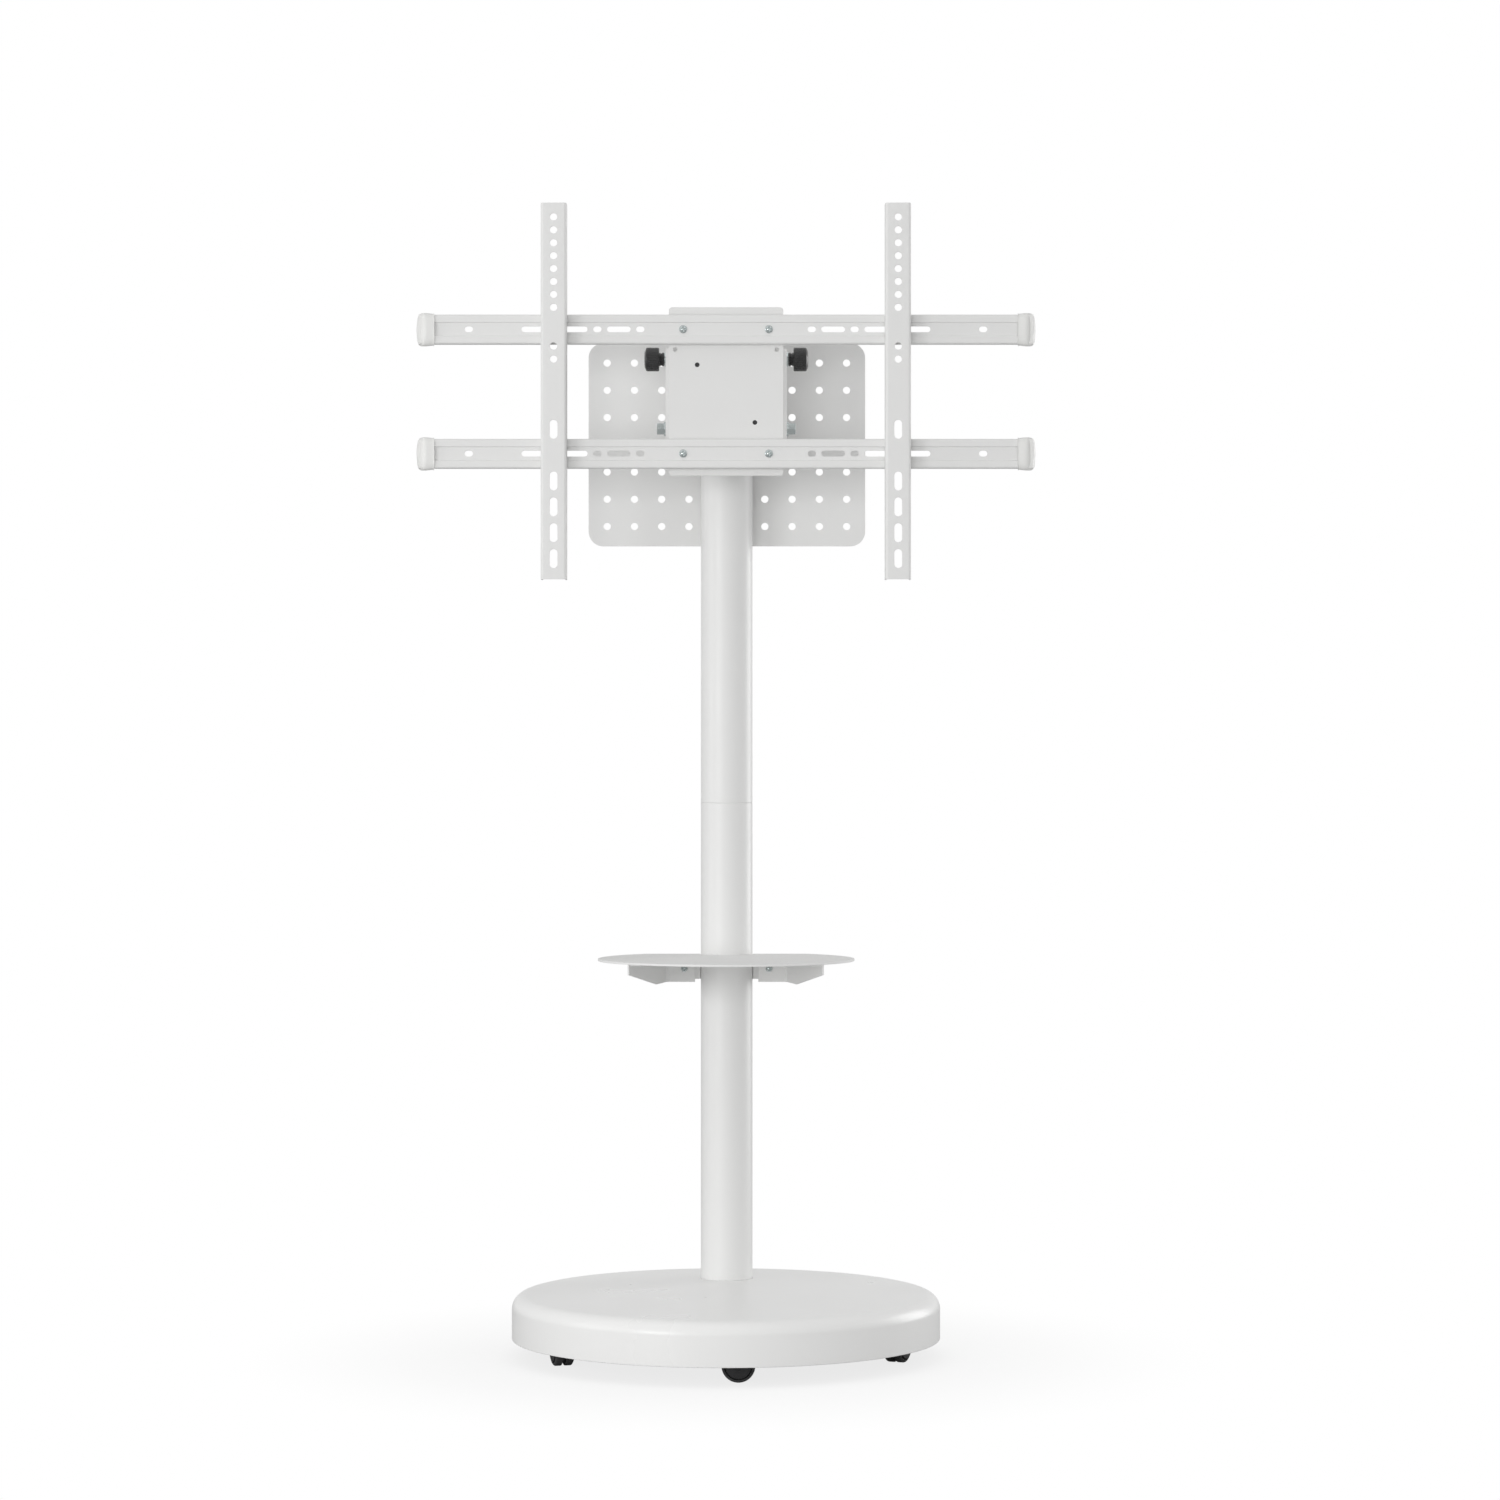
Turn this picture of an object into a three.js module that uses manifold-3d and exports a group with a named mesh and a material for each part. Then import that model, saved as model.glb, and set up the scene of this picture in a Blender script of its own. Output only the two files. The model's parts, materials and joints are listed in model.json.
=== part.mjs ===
// A television stand: a round weighted base on five twin-wheel casters, a two-section pole,
// a clamp-on shelf, a perforated equipment plate, and a tilting head whose mount frame turns
// from landscape to portrait. Millimetres, +Z up, +Y to the rear, with the origin on the floor
// under the centre of the base.
import * as THREE from "three";
import { mergeVertices, toCreasedNormals } from "three/addons/utils/BufferGeometryUtils.js";
import Module from "manifold-3d";

const wasm = await Module();
wasm.setup();

// Fits shared by all pieces
const contactGap = 0.3; // round a shaft, a tube or anything that turns or slides
const overrun = 4; // how far a cutter runs past the face that it cuts

// Base
const baseDiameter = 500;
const baseHeight = 52;
const baseLift = 22; // from the floor to the rim
const baseWall = 2;
const baseEdgeRadius = 17;
const basePlateThickness = 8;

// Casters
const casterHeight = 50; // from the floor to the face that the caster is mounted on
const casterInset = 48; // from the base's rim in to the swivel axes
const casterTrail = 15; // from the swivel axis to the axle
const casterWidth = 27;
const wheelRadius = 19;
const treadWidth = 19;
const wheelRimInset = 3.4; // radius of the groove between tread and disc, below the tread
const casterWebThickness = 3.5;
const casterAxleRadius = 2.5;
const casterHoodGap = 1;
const casterHoodWall = 2;
const casterHoodRise = 4; // from the axle up to the hood's lower edge
const casterBossRadius = 9;
const casterStemRadius = 5;
const casterHeadings = [
  ["front", -90, 90],
  ["right", -18, 155],
  ["rear_right", 54, 215],
  ["rear_left", 126, 320],
  ["left", 198, 15],
]; // name, place on the circle and heading, in degrees

// Pole
const poleDiameter = 62;
const poleWall = 2;
const poleInset = 108; // from the base's rim in to the pole's axis
const poleJointHeight = 645;
const poleTopHeight = 1224;
const poleCapThickness = 4;
const poleCapPlug = 18;
const joinerLength = 160;
const joinerWall = 2.5;
const footRadius = 60;
const footThickness = 8;
const footSpigot = 24;
const footBoltRadius = 6;
const footBoltHeadRadius = 10.8;
const footBoltHeadHeight = 5.5;
const footWasherRadius = 15;
const footWasherThickness = 2;

// Shelf
const shelfHeight = 463; // from the floor to its top
const shelfDiameter = 302;
const shelfThickness = 2.5;
const shelfCentreReach = 108; // from the pole's axis forward to the centre of the disc
const shelfBackReach = 8; // from the pole's axis back to the straight edge
const wingSheet = 2;
const wingHeight = 31;
const wingTipHeight = 12;
const wingEarInner = 38;
const wingEarOuter = 73.6;
const wingBend = 4;
const wingTipX = 112.5;
const wingTipReach = 203;
const wingTaperStart = 55;
const wingFlange = 14;
const wingFlangeStart = 14;
const clampSheet = 2;
const clampHeight = 25;
const clampHalfWidth = 64;
const clampDrop = 5; // from the top of the shelf to the top edge of the clamp
const shelfScrewX = 51;
const shelfScrewRadius = 2.5;
const shelfScrewHeadRadius = 5;
const shelfScrewHeadHeight = 3;
const weldNutRadius = 5.5;
const weldNutHeight = 4;

// Equipment plate
const equipmentWidth = 335;
const equipmentHeight = 246;
const equipmentCentreHeight = 1078; // from the floor
const equipmentSheet = 2;
const equipmentCorner = 18;
const equipmentHoleRadius = 4.4;
const equipmentPitch = 33;
const equipmentFirstColumn = 46;
const equipmentMargin = 20; // least distance from the edge to the middle of a hole
const saddleThickness = 6; // from the pole's surface to the flat face
const equipmentSaddleWidth = 40;
const equipmentSaddleLength = 160;
const equipmentScrewSpacing = 100;
const equipmentScrewRadius = 3;
const equipmentScrewHeadRadius = 6;
const equipmentScrewHeadHeight = 3.5;

// Tilting head
const headHeight = 1125; // from the floor to the axis that the frame turns on
const headSheet = 2.5;
const yokeWidth = 142;
const yokeHeight = 108;
const yokeBend = 4;
const yokeCorner = 11;
const pivotReach = 80; // from the pole's axis forward to the tilt axis
const pivotDrop = 36.8; // from the turning axis down to the tilt axis
const pivotToWeb = 48.7; // from the tilt axis forward to the yoke's web
const pivotToYokeEdge = 14;
const pivotBoltRadius = 4;
const pivotBoltHeadRadius = 7.5;
const pivotBoltHeadHeight = 8.4;
const pivotNutRadius = 7.5;
const pivotNutHeight = 6;
const clampRadius = 82.3; // from the tilt axis up to the clamp bolts
const clampBoltRadius = 3;
const clampBoltHeadRadius = 8;
const clampBoltHeadHeight = 3;
const clampBoltReach = 14; // how far the bolt runs into the knob
const tiltRange = THREE.MathUtils.degToRad(12); // each way
const slotSpareAngle = THREE.MathUtils.degToRad(0.5);
const slotMargin = 8; // from the slot to the front edge of the cheek
const cheekWaist = 15; // from the tilt axis forward to the edge of the cheek
const cheekCorner = 9;
const bracketSaddleWidth = 44;
const bracketSaddleLength = 90;
const bracketBoltSpacing = 60;
const bracketBoltRadius = 4;
const bracketBoltHeadRadius = 7.5;
const bracketBoltHeadHeight = 5.3;
const headWasherRadius = 8.75;
const headWasherThickness = 2.2;
const knobRadius = 14;
const knobLength = 17.3;
const knobNeckRadius = 8;
const knobNeckLength = 6;
const knobDome = 2.5;

// Rotator
const hubRadius = 40;
const hubThickness = 5;
const hubShaftRadius = 8;
const hubShaftEnd = 6; // how far the shaft runs past the nut
const frictionWasherRadius = 38;
const frictionWasherThickness = 2;
const rotatorNutRadius = 14;
const rotatorNutHeight = 8;
const indexHoleOffset = 33.7;
const indexHoleRadius = 2.75;

// Mount plate
const mountPlateWidth = 134;
const mountPlateHeight = 197;
const mountPlateRise = 2.5; // from the turning axis up to the middle of the plate
const mountPlateSheet = 2.5;
const mountPlateCorner = 4;
const cornerHoleX = 59.4;
const cornerHoleZ = 51.5;
const cornerHoleRadius = 2.5;

// Rails
const railLength = 716;
const railSpacing = 145;
const railRise = 1.5; // from the turning axis up to the middle between the rails
const railHeight = 34.3;
const railDepth = 14;
const railWall = 1.8;
const railCorner = 2.5;
const railLip = 7; // how far each rear lip is turned in
const railGrooveWidth = 15.8;
const railGrooveDepth = 1.6;
const railSlotWidth = 6.8;
const railOvalLength = 9.6;
const railShortSlotLength = 27.5;
const railArmSlotLength = 77; // the slot that an arm's bolt slides in
const railSlotPitch = 25;
const railScrewX = 50;
const railScrewRadius = 2.5;
const railScrewHeadRadius = 5;
const railScrewHeadHeight = 3;

// End caps
const capLength = 23;
const capHeight = 38.6;
const capDepth = 21.4;
const capCavity = 17; // how far the rail runs in
const capEndShear = 4.8; // how far the outer face leans in towards the front
const capRimShear = 1.2;
const capDome = 1.5;
const capEdge = 1.2;
const capOvalPower = 2 / 3; // how square the oval is: 1 for an ellipse

// Arms
const armX = 200;
const armLength = 437;
const armWidth = 30;
const armDepth = 24;
const armSheet = 2;
const armBend = 3;
const armHoleRadius = 4.2;
const armHolePitch = 15;
const armFirstHole = 37;
const armHoleCount = 12;
const armSlotLength = 22;
const armSlotWidth = 9;
const armSlotPitch = 30;
const armFirstSlot = 44.5;
const armSlotCount = 6;
const armBoltRadius = 3.1;
const armBoltHeadRadius = 8;
const armBoltHeadHeight = 4;

// Facets
const baseSides = 48;
const tubeSides = 24;
const shelfSides = 40;
const discSides = 18;
const wheelSides = 16;
const screwSides = 8;
const hexSides = 6;
const holeSides = 8;
const cornerSteps = 3;
const arcSteps = 6;
const capSides = 20;
const creaseAngle = THREE.MathUtils.degToRad(35);

// Places worked out from the sizes above
const poleRadius = poleDiameter / 2;
const poleBore = poleRadius - poleWall;
const baseTop = baseLift + baseHeight;
const baseRadius = baseDiameter / 2;
const casterCircleRadius = baseRadius - casterInset;
const poleSetback = baseRadius - poleInset;
const basePlateTop = casterHeight + basePlateThickness;
const footTop = basePlateTop + footThickness;
const saddleReach = poleRadius + saddleThickness;
const bracketWebFront = saddleReach + headSheet;
const yokeWebRear = pivotReach + pivotToWeb;
const yokeWebFront = yokeWebRear + headSheet;
const washerFront = yokeWebFront + frictionWasherThickness;
const hubRear = washerFront + contactGap;
const hubFront = hubRear + hubThickness;
const mountPlateFront = hubFront + mountPlateSheet;
const railFront = mountPlateFront + railDepth;
const armFront = railFront + armDepth;
const yokeInner = yokeWidth / 2 - headSheet;
const bracketOuter = yokeInner - contactGap;
const bracketInner = bracketOuter - headSheet;
const clampBoltZ = clampRadius - pivotDrop;
const shelfScrewZ = -clampDrop - clampHeight / 2; // from the top of the shelf

// Outlines

// Points along a round stretch, from one angle to another.
function arc(x, y, radius, from, to, steps) {
  return Array.from({ length: steps + 1 }, (_, i) => {
    const angle = from + ((to - from) * i) / steps;
    return new THREE.Vector2(x + radius * Math.cos(angle), y + radius * Math.sin(angle));
  });
}

function circle(x, y, radius, sides = holeSides) {
  return arc(x, y, radius, 0, 2 * Math.PI, sides).slice(0, -1);
}

// The radius of a polygon's corners when its flats lie on a circle.
const roundFlats = (radius, sides) => radius / Math.cos(Math.PI / sides);

// A straight slot with round ends, centred on x, y, along x or along y.
function slot(x, y, length, width, upright = false, steps = arcSteps / 2) {
  const radius = width / 2;
  const reach = length / 2 - radius;
  const turn = upright ? Math.PI / 2 : 0;
  const [dx, dy] = [reach * Math.cos(turn), reach * Math.sin(turn)];
  return [
    ...arc(x + dx, y + dy, radius, turn - Math.PI / 2, turn + Math.PI / 2, steps),
    ...arc(x - dx, y - dy, radius, turn + Math.PI / 2, turn + (3 * Math.PI) / 2, steps),
  ];
}

// A slot bent along an arc about x, y.
function arcSlot(x, y, radius, width, middle, spread, steps = arcSteps) {
  const [start, end] = [middle - spread, middle + spread];
  const round = width / 2;
  const centre = (angle) => [x + radius * Math.cos(angle), y + radius * Math.sin(angle)];
  return [
    ...arc(x, y, radius + round, start, end, steps),
    ...arc(...centre(end), round, end, end + Math.PI, arcSteps / 2).slice(1, -1),
    ...arc(x, y, radius - round, end, start, steps),
    ...arc(...centre(start), round, start + Math.PI, start + 2 * Math.PI, arcSteps / 2).slice(1, -1),
  ];
}

// A polygon whose corners, given as [x, y, radius], are rounded with arcs.
function rounded(corners, steps = cornerSteps) {
  return corners.flatMap(([x, y, radius], i) => {
    const corner = new THREE.Vector2(x, y);
    if (!radius) return [corner];
    const [before, after] = [corners.at(i - 1), corners[(i + 1) % corners.length]];
    const back = new THREE.Vector2(before[0], before[1]).sub(corner).normalize();
    const ahead = new THREE.Vector2(after[0], after[1]).sub(corner).normalize();
    const half = Math.acos(back.dot(ahead)) / 2;
    const centre = back.clone().add(ahead).setLength(radius / Math.sin(half)).add(corner);
    const from = back.setLength(radius / Math.tan(half)).add(corner).sub(centre).angle();
    const to = ahead.setLength(radius / Math.tan(half)).add(corner).sub(centre).angle();
    const sweep = THREE.MathUtils.euclideanModulo(to - from + Math.PI, 2 * Math.PI) - Math.PI;
    return arc(centre.x, centre.y, radius, from, from + sweep, steps);
  });
}

function rectangle(width, height, corner = 0, x = 0, y = 0) {
  const [w, h] = [width / 2, height / 2];
  return rounded([
    [x - w, y - h, corner],
    [x + w, y - h, corner],
    [x + w, y + h, corner],
    [x - w, y + h, corner],
  ]);
}

// The outline of a bent strip of sheet whose middle follows the points of a path.
function strip(path, sheet) {
  const side = (sign) =>
    path.map((point, i) => {
      const back = point.clone().sub(path[Math.max(i - 1, 0)]).normalize();
      const ahead = path[Math.min(i + 1, path.length - 1)].clone().sub(point).normalize();
      const along = back.add(ahead).normalize();
      const far = path[Math.min(i + 1, path.length - 1)];
      const near = path[Math.max(i - 1, 0)];
      const leg = i ? point.clone().sub(near).normalize() : far.clone().sub(point).normalize();
      const mitre = (sign * sheet) / 2 / Math.max(along.dot(leg), 0.5);
      return new THREE.Vector2(-along.y, along.x).multiplyScalar(mitre).add(point);
    });
  return [...side(1), ...side(-1).reverse()];
}

// Solids

// A flat outline with holes, thickened from z = 0 up.
function plate(outline, thickness, holes = []) {
  const shape = new THREE.Shape(outline);
  shape.holes = holes.map((hole) => new THREE.Path(hole));
  return new THREE.ExtrudeGeometry(shape, { depth: thickness, bevelEnabled: false });
}

// The same, standing: the outline is in x and z, and the thickness runs back from y.
function standing(outline, y, thickness, holes = []) {
  const sheet = plate(outline, thickness, holes).rotateX(Math.PI / 2);
  return sheet.translate(0, y + thickness, 0);
}

// The same, lying across: the outline is in y and z, and the thickness runs along x.
function across(outline, x, thickness, holes = []) {
  const turn = new THREE.Matrix4().makeBasis(
    new THREE.Vector3(0, 1, 0),
    new THREE.Vector3(0, 0, 1),
    new THREE.Vector3(1, 0, 0),
  );
  return plate(outline, thickness, holes).applyMatrix4(turn).translate(x, 0, 0);
}

// A solid of revolution about z. The profile lists [radius, z] from the axis at the lower end,
// out, up and back to the axis. A ring's profile comes back to its own start.
function turned(profile, sides) {
  const points = profile.map(([radius, z]) => new THREE.Vector2(radius, z));
  return new THREE.LatheGeometry(points, sides).rotateX(Math.PI / 2);
}

function rod(radius, from, to, sides) {
  return turned([[0, from], [radius, from], [radius, to], [0, to]], sides);
}

function ring(inner, outer, from, to, sides = tubeSides) {
  return turned([[inner, from], [outer, from], [outer, to], [inner, to], [inner, from]], sides);
}

// A cutter for the hole that a round shaft of this radius passes through.
function bore(shaftRadius, from, to, sides = holeSides) {
  return rod(roundFlats(shaftRadius + contactGap, sides), from, to, sides);
}

// Turns a solid made along z so that it runs along +x or -x.
const alongX = (geometry, side = 1) => geometry.rotateY((side * Math.PI) / 2);
// Turns a solid made along z so that it runs to the rear or to the front.
const toRear = (geometry) => geometry.rotateX(-Math.PI / 2);
const toFront = (geometry) => geometry.rotateX(Math.PI / 2);

function solid(geometry) {
  const bare = new THREE.BufferGeometry();
  bare.setAttribute("position", geometry.getAttribute("position"));
  bare.setIndex(geometry.index);
  const merged = mergeVertices(bare);
  return new wasm.Manifold(
    new wasm.Mesh({
      numProp: 3,
      vertProperties: merged.attributes.position.array,
      triVerts: new Uint32Array(merged.index.array),
    }),
  );
}

function surface(body) {
  const { vertProperties, triVerts } = body.getMesh();
  const geometry = new THREE.BufferGeometry();
  geometry.setAttribute("position", new THREE.BufferAttribute(vertProperties.slice(), 3));
  geometry.setIndex(new THREE.BufferAttribute(triVerts.slice(), 1));
  return geometry;
}

const joined = (...pieces) => surface(pieces.map(solid).reduce((all, next) => all.add(next)));
const cut = (piece, ...cutters) =>
  surface(cutters.map(solid).reduce((rest, cutter) => rest.subtract(cutter), solid(piece)));
const common = (a, b) => surface(solid(a).intersect(solid(b)));

// A screw along +z with a low domed head: the head stands below z = 0.
function panScrew(shankRadius, shankLength, headRadius, headHeight) {
  return turned(
    [
      [0, -headHeight],
      [headRadius, -headHeight / 3],
      [headRadius, 0],
      [shankRadius, 0],
      [shankRadius, shankLength],
      [0, shankLength],
    ],
    screwSides,
  );
}

// Materials
const painted = (color, roughness) =>
  new THREE.MeshStandardMaterial({ color, roughness, metalness: 0 });
const metal = (color, roughness) =>
  new THREE.MeshStandardMaterial({ color, roughness, metalness: 1 });

const whiteEnamel = painted(0xe4e4e3, 0.35);
const whitePowder = painted(0xe0e0df, 0.5);
const greyPowder = painted(0xcfcfce, 0.5);
const whitePlastic = painted(0xe2e2e0, 0.45);
const blackPlastic = painted(0x3a3a3b, 0.5);
const blackRubber = painted(0x1f1f20, 0.7);
const blackNylon = painted(0x2b2b2c, 0.45);
const zinc = metal(0xb9c2c0, 0.35);
const blackenedSteel = metal(0x55585a, 0.5);

function mesh(name, geometry, material) {
  const shown = toCreasedNormals(geometry, creaseAngle);
  const node = new THREE.Mesh(shown, material);
  node.name = name;
  return node;
}

// Base

function baseShell() {
  const inner = baseRadius - baseWall;
  const under = baseTop - baseWall;
  const [x, z] = [baseRadius - baseEdgeRadius, baseTop - baseEdgeRadius];
  const roll = (radius, from, to, steps) =>
    arc(x, z, radius, from, to, steps).map((p) => [p.x, p.y]);
  const dish = turned(
    [
      [0, under],
      ...roll(baseEdgeRadius - baseWall, Math.PI / 2, 0, cornerSteps - 1),
      [inner, baseLift],
      [baseRadius, baseLift],
      ...roll(baseEdgeRadius, 0, Math.PI / 2, cornerSteps),
      [0, baseTop],
    ],
    baseSides,
  );
  const opening = poleRadius + contactGap;
  const collar = rod(opening + baseWall, footTop, under + baseWall / 2, tubeSides);
  const hole = rod(opening, footTop - overrun, baseTop + overrun, tubeSides);
  return cut(joined(dish, collar.translate(0, poleSetback, 0)), hole.translate(0, poleSetback, 0));
}

function basePlate() {
  const hole = (x, y, radius) => circle(x, y, roundFlats(radius + contactGap, screwSides), screwSides);
  const stemHoles = casterPlaces().map(({ x, y }) => hole(x, y, casterStemRadius));
  const boltHole = hole(0, poleSetback, footBoltRadius);
  const outline = circle(0, 0, baseRadius - baseWall - 2 * contactGap, baseSides);
  return plate(outline, basePlateThickness, [...stemHoles, boltHole]).translate(0, 0, casterHeight);
}

function buildBase() {
  const base = new THREE.Group();
  base.add(mesh("base_shell", baseShell(), whiteEnamel));
  base.add(mesh("base_plate", basePlate(), blackenedSteel));
  return base;
}

// Casters

function casterPlaces() {
  return casterHeadings.map(([name, place, heading]) => ({
    name,
    x: casterCircleRadius * Math.cos(THREE.MathUtils.degToRad(place)),
    y: casterCircleRadius * Math.sin(THREE.MathUtils.degToRad(place)),
    heading: THREE.MathUtils.degToRad(heading),
  }));
}

// A hood over two wheels, with a web between them that carries the axle, and a swivel stem.
function casterFork() {
  const hoodBore = roundFlats(wheelRadius + casterHoodGap, wheelSides);
  const hoodRadius = hoodBore + casterHoodWall;
  const [halfWidth, halfWeb] = [casterWidth / 2, casterWebThickness / 2];
  const webRadius = casterAxleRadius + wheelRimInset;
  const drum = alongX(rod(hoodRadius, -halfWidth, halfWidth, wheelSides));
  const upper = rectangle(2 * hoodRadius, hoodRadius, 0, 0, casterHoodRise + hoodRadius / 2);
  const hood = common(drum, across(upper, -casterWidth, 2 * casterWidth));
  const web = across(rectangle(2 * webRadius, hoodBore, 0, 0, hoodBore / 2), -halfWeb, casterWebThickness);
  const hub = alongX(rod(webRadius, -halfWeb, halfWeb, screwSides));
  const body = joined(hood, web, hub).translate(0, -casterTrail, wheelRadius);
  const bossFoot = wheelRadius + casterHoodRise;
  const boss = rod(casterBossRadius, bossFoot, casterHeight - contactGap, wheelSides);
  const stem = rod(casterStemRadius, bossFoot, basePlateTop - contactGap, screwSides);
  const atAxle = (cutter) => cutter.translate(0, -casterTrail, wheelRadius);
  const wheelRoom = (side) => atAxle(alongX(rod(hoodBore, halfWeb, casterWidth, wheelSides), side));
  const axleRoom = atAxle(alongX(bore(casterAxleRadius, -casterWidth, casterWidth)));
  return cut(joined(body, boss, stem), wheelRoom(1), wheelRoom(-1), axleRoom);
}

// Two wheels with domed discs on one axle, as one solid of revolution.
function casterWheels() {
  const inner = casterWebThickness / 2 + contactGap;
  const outer = casterWidth / 2;
  const tread = treadWidth / 2;
  const rim = wheelRadius - wheelRimInset;
  const half = [
    [casterAxleRadius, inner],
    [wheelRadius, inner],
    [wheelRadius, tread],
    [rim, (tread + 2 * outer) / 3],
    [0, outer],
  ];
  const mirrored = half.map(([radius, x]) => [radius, -x]).reverse();
  return alongX(turned([...mirrored, ...half], wheelSides));
}

function buildCasters() {
  const casters = new THREE.Group();
  for (const { name, x, y, heading } of casterPlaces()) {
    const caster = new THREE.Group();
    caster.add(mesh(`caster_${name}_fork`, casterFork(), blackNylon));
    const wheels = mesh(`caster_${name}_wheels`, casterWheels(), blackRubber);
    wheels.position.set(0, -casterTrail, wheelRadius);
    caster.add(wheels);
    caster.position.set(x, y, 0);
    caster.rotation.z = heading;
    casters.add(caster);
  }
  return casters;
}

// Pole, on its own axis

function poleFoot() {
  const inner = roundFlats(footBoltRadius + contactGap, discSides);
  const spigot = poleBore - contactGap;
  return turned(
    [
      [inner, basePlateTop],
      [footRadius, basePlateTop],
      [footRadius, footTop],
      [spigot, footTop],
      [spigot, footTop + footSpigot],
      [inner, footTop + footSpigot],
      [inner, basePlateTop],
    ],
    discSides,
  );
}

function footBolt() {
  const washer = rod(footWasherRadius, -footWasherThickness, 0, wheelSides);
  const [middle, headEnd] = [-footWasherThickness / 2, -footWasherThickness - footBoltHeadHeight];
  const head = rod(footBoltHeadRadius, headEnd, middle, hexSides);
  const shank = rod(footBoltRadius, middle, footTop + footSpigot - casterHeight, screwSides);
  return joined(washer, head, shank).translate(0, 0, casterHeight);
}

function poleUpper() {
  const tube = ring(poleBore, poleRadius, poleJointHeight, poleTopHeight);
  const boltHole = (side) => {
    const z = headHeight + (side * bracketBoltSpacing) / 2;
    return toFront(bore(bracketBoltRadius, 0, poleDiameter)).translate(0, 0, z);
  };
  const screwHole = (side) => {
    const z = equipmentCentreHeight + (side * equipmentScrewSpacing) / 2;
    return toRear(bore(equipmentScrewRadius, 0, poleDiameter)).translate(0, 0, z);
  };
  return cut(tube, boltHole(-1), boltHole(1), screwHole(-1), screwHole(1));
}

function poleCap() {
  const plug = poleBore - contactGap;
  const round = poleCapThickness / 2;
  return turned(
    [
      [0, -poleCapPlug],
      [plug, -poleCapPlug],
      [plug, 0],
      [poleRadius, 0],
      [poleRadius, poleCapThickness - round],
      [poleRadius - round, poleCapThickness],
      [0, poleCapThickness],
    ],
    tubeSides,
  ).translate(0, 0, poleTopHeight);
}

function buildPole() {
  const pole = new THREE.Group();
  const joinerRadius = poleBore - contactGap;
  const [low, high] = [poleJointHeight - joinerLength / 2, poleJointHeight + joinerLength / 2];
  pole.add(mesh("pole_foot", poleFoot(), blackenedSteel));
  pole.add(mesh("foot_bolt", footBolt(), zinc));
  pole.add(mesh("pole_lower", ring(poleBore, poleRadius, footTop, poleJointHeight), whiteEnamel));
  pole.add(mesh("pole_upper", poleUpper(), whiteEnamel));
  const joiner = ring(joinerRadius - joinerWall, joinerRadius, low, high, discSides);
  pole.add(mesh("pole_joiner", joiner, blackenedSteel));
  pole.add(mesh("pole_cap", poleCap(), whitePlastic));
  pole.position.y = poleSetback;
  return pole;
}

// Shelf, on the pole's axis, with z = 0 at its top

// A disc cut straight at the back, with a notch that clasps the front of the pole.
function shelfPlate() {
  const radius = shelfDiameter / 2;
  const chord = Math.asin((shelfCentreReach + shelfBackReach) / radius);
  const notch = roundFlats(poleRadius + contactGap, 4 * arcSteps);
  const outline = [
    ...arc(0, -shelfCentreReach, radius, chord, -Math.PI - chord, shelfSides),
    new THREE.Vector2(-notch, shelfBackReach),
    ...arc(0, 0, notch, Math.PI, 2 * Math.PI, 2 * arcSteps),
    new THREE.Vector2(notch, shelfBackReach),
  ];
  return plate(outline, shelfThickness).translate(0, 0, -shelfThickness);
}

// An upright gusset: an ear beside the pole, then a wing that runs forward and outward under the
// shelf, tapered to its tip, with a flange along its top edge.
function shelfWing(side) {
  const at = (x, y) => new THREE.Vector2(side * x, y);
  const tip = at(wingTipX, -wingTipReach);
  const bend = at(wingEarOuter, 0);
  const path = [at(wingEarInner, 0), at(wingEarOuter - wingBend, 0), at(wingEarOuter, -wingBend), tip];
  const bottom = -shelfThickness - wingHeight;
  const web = plate(strip(path, wingSheet), wingHeight).translate(0, 0, bottom);
  const lean = (wingTipX - wingEarOuter) / wingTipReach;
  const inward = (y) => at(wingEarOuter - lean * y, y);
  const flangeEnd = -wingTipReach + wingSheet;
  const flange = plate(
    [
      inward(-wingFlangeStart),
      inward(flangeEnd),
      inward(flangeEnd).sub(at(wingFlange, 0)),
      inward(-wingFlangeStart).sub(at(wingFlange, 0)),
    ],
    wingSheet,
  ).translate(0, 0, -shelfThickness - wingSheet);
  const rise = (wingHeight - wingTipHeight) / (wingTipReach - wingTaperStart);
  const tipCorner = -wingTipReach - overrun;
  const taper = across(
    [
      new THREE.Vector2(-wingTaperStart, bottom),
      new THREE.Vector2(tipCorner, bottom + rise * (wingTipReach + overrun - wingTaperStart)),
      new THREE.Vector2(tipCorner, bottom - overrun),
      new THREE.Vector2(-wingTaperStart, bottom - overrun),
    ],
    -wingTipX - overrun,
    2 * (wingTipX + overrun),
  );
  const screwHole = toFront(bore(shelfScrewRadius, -overrun, overrun));
  return cut(joined(web, flange), taper, screwHole.translate(side * shelfScrewX, 0, shelfScrewZ));
}

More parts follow.
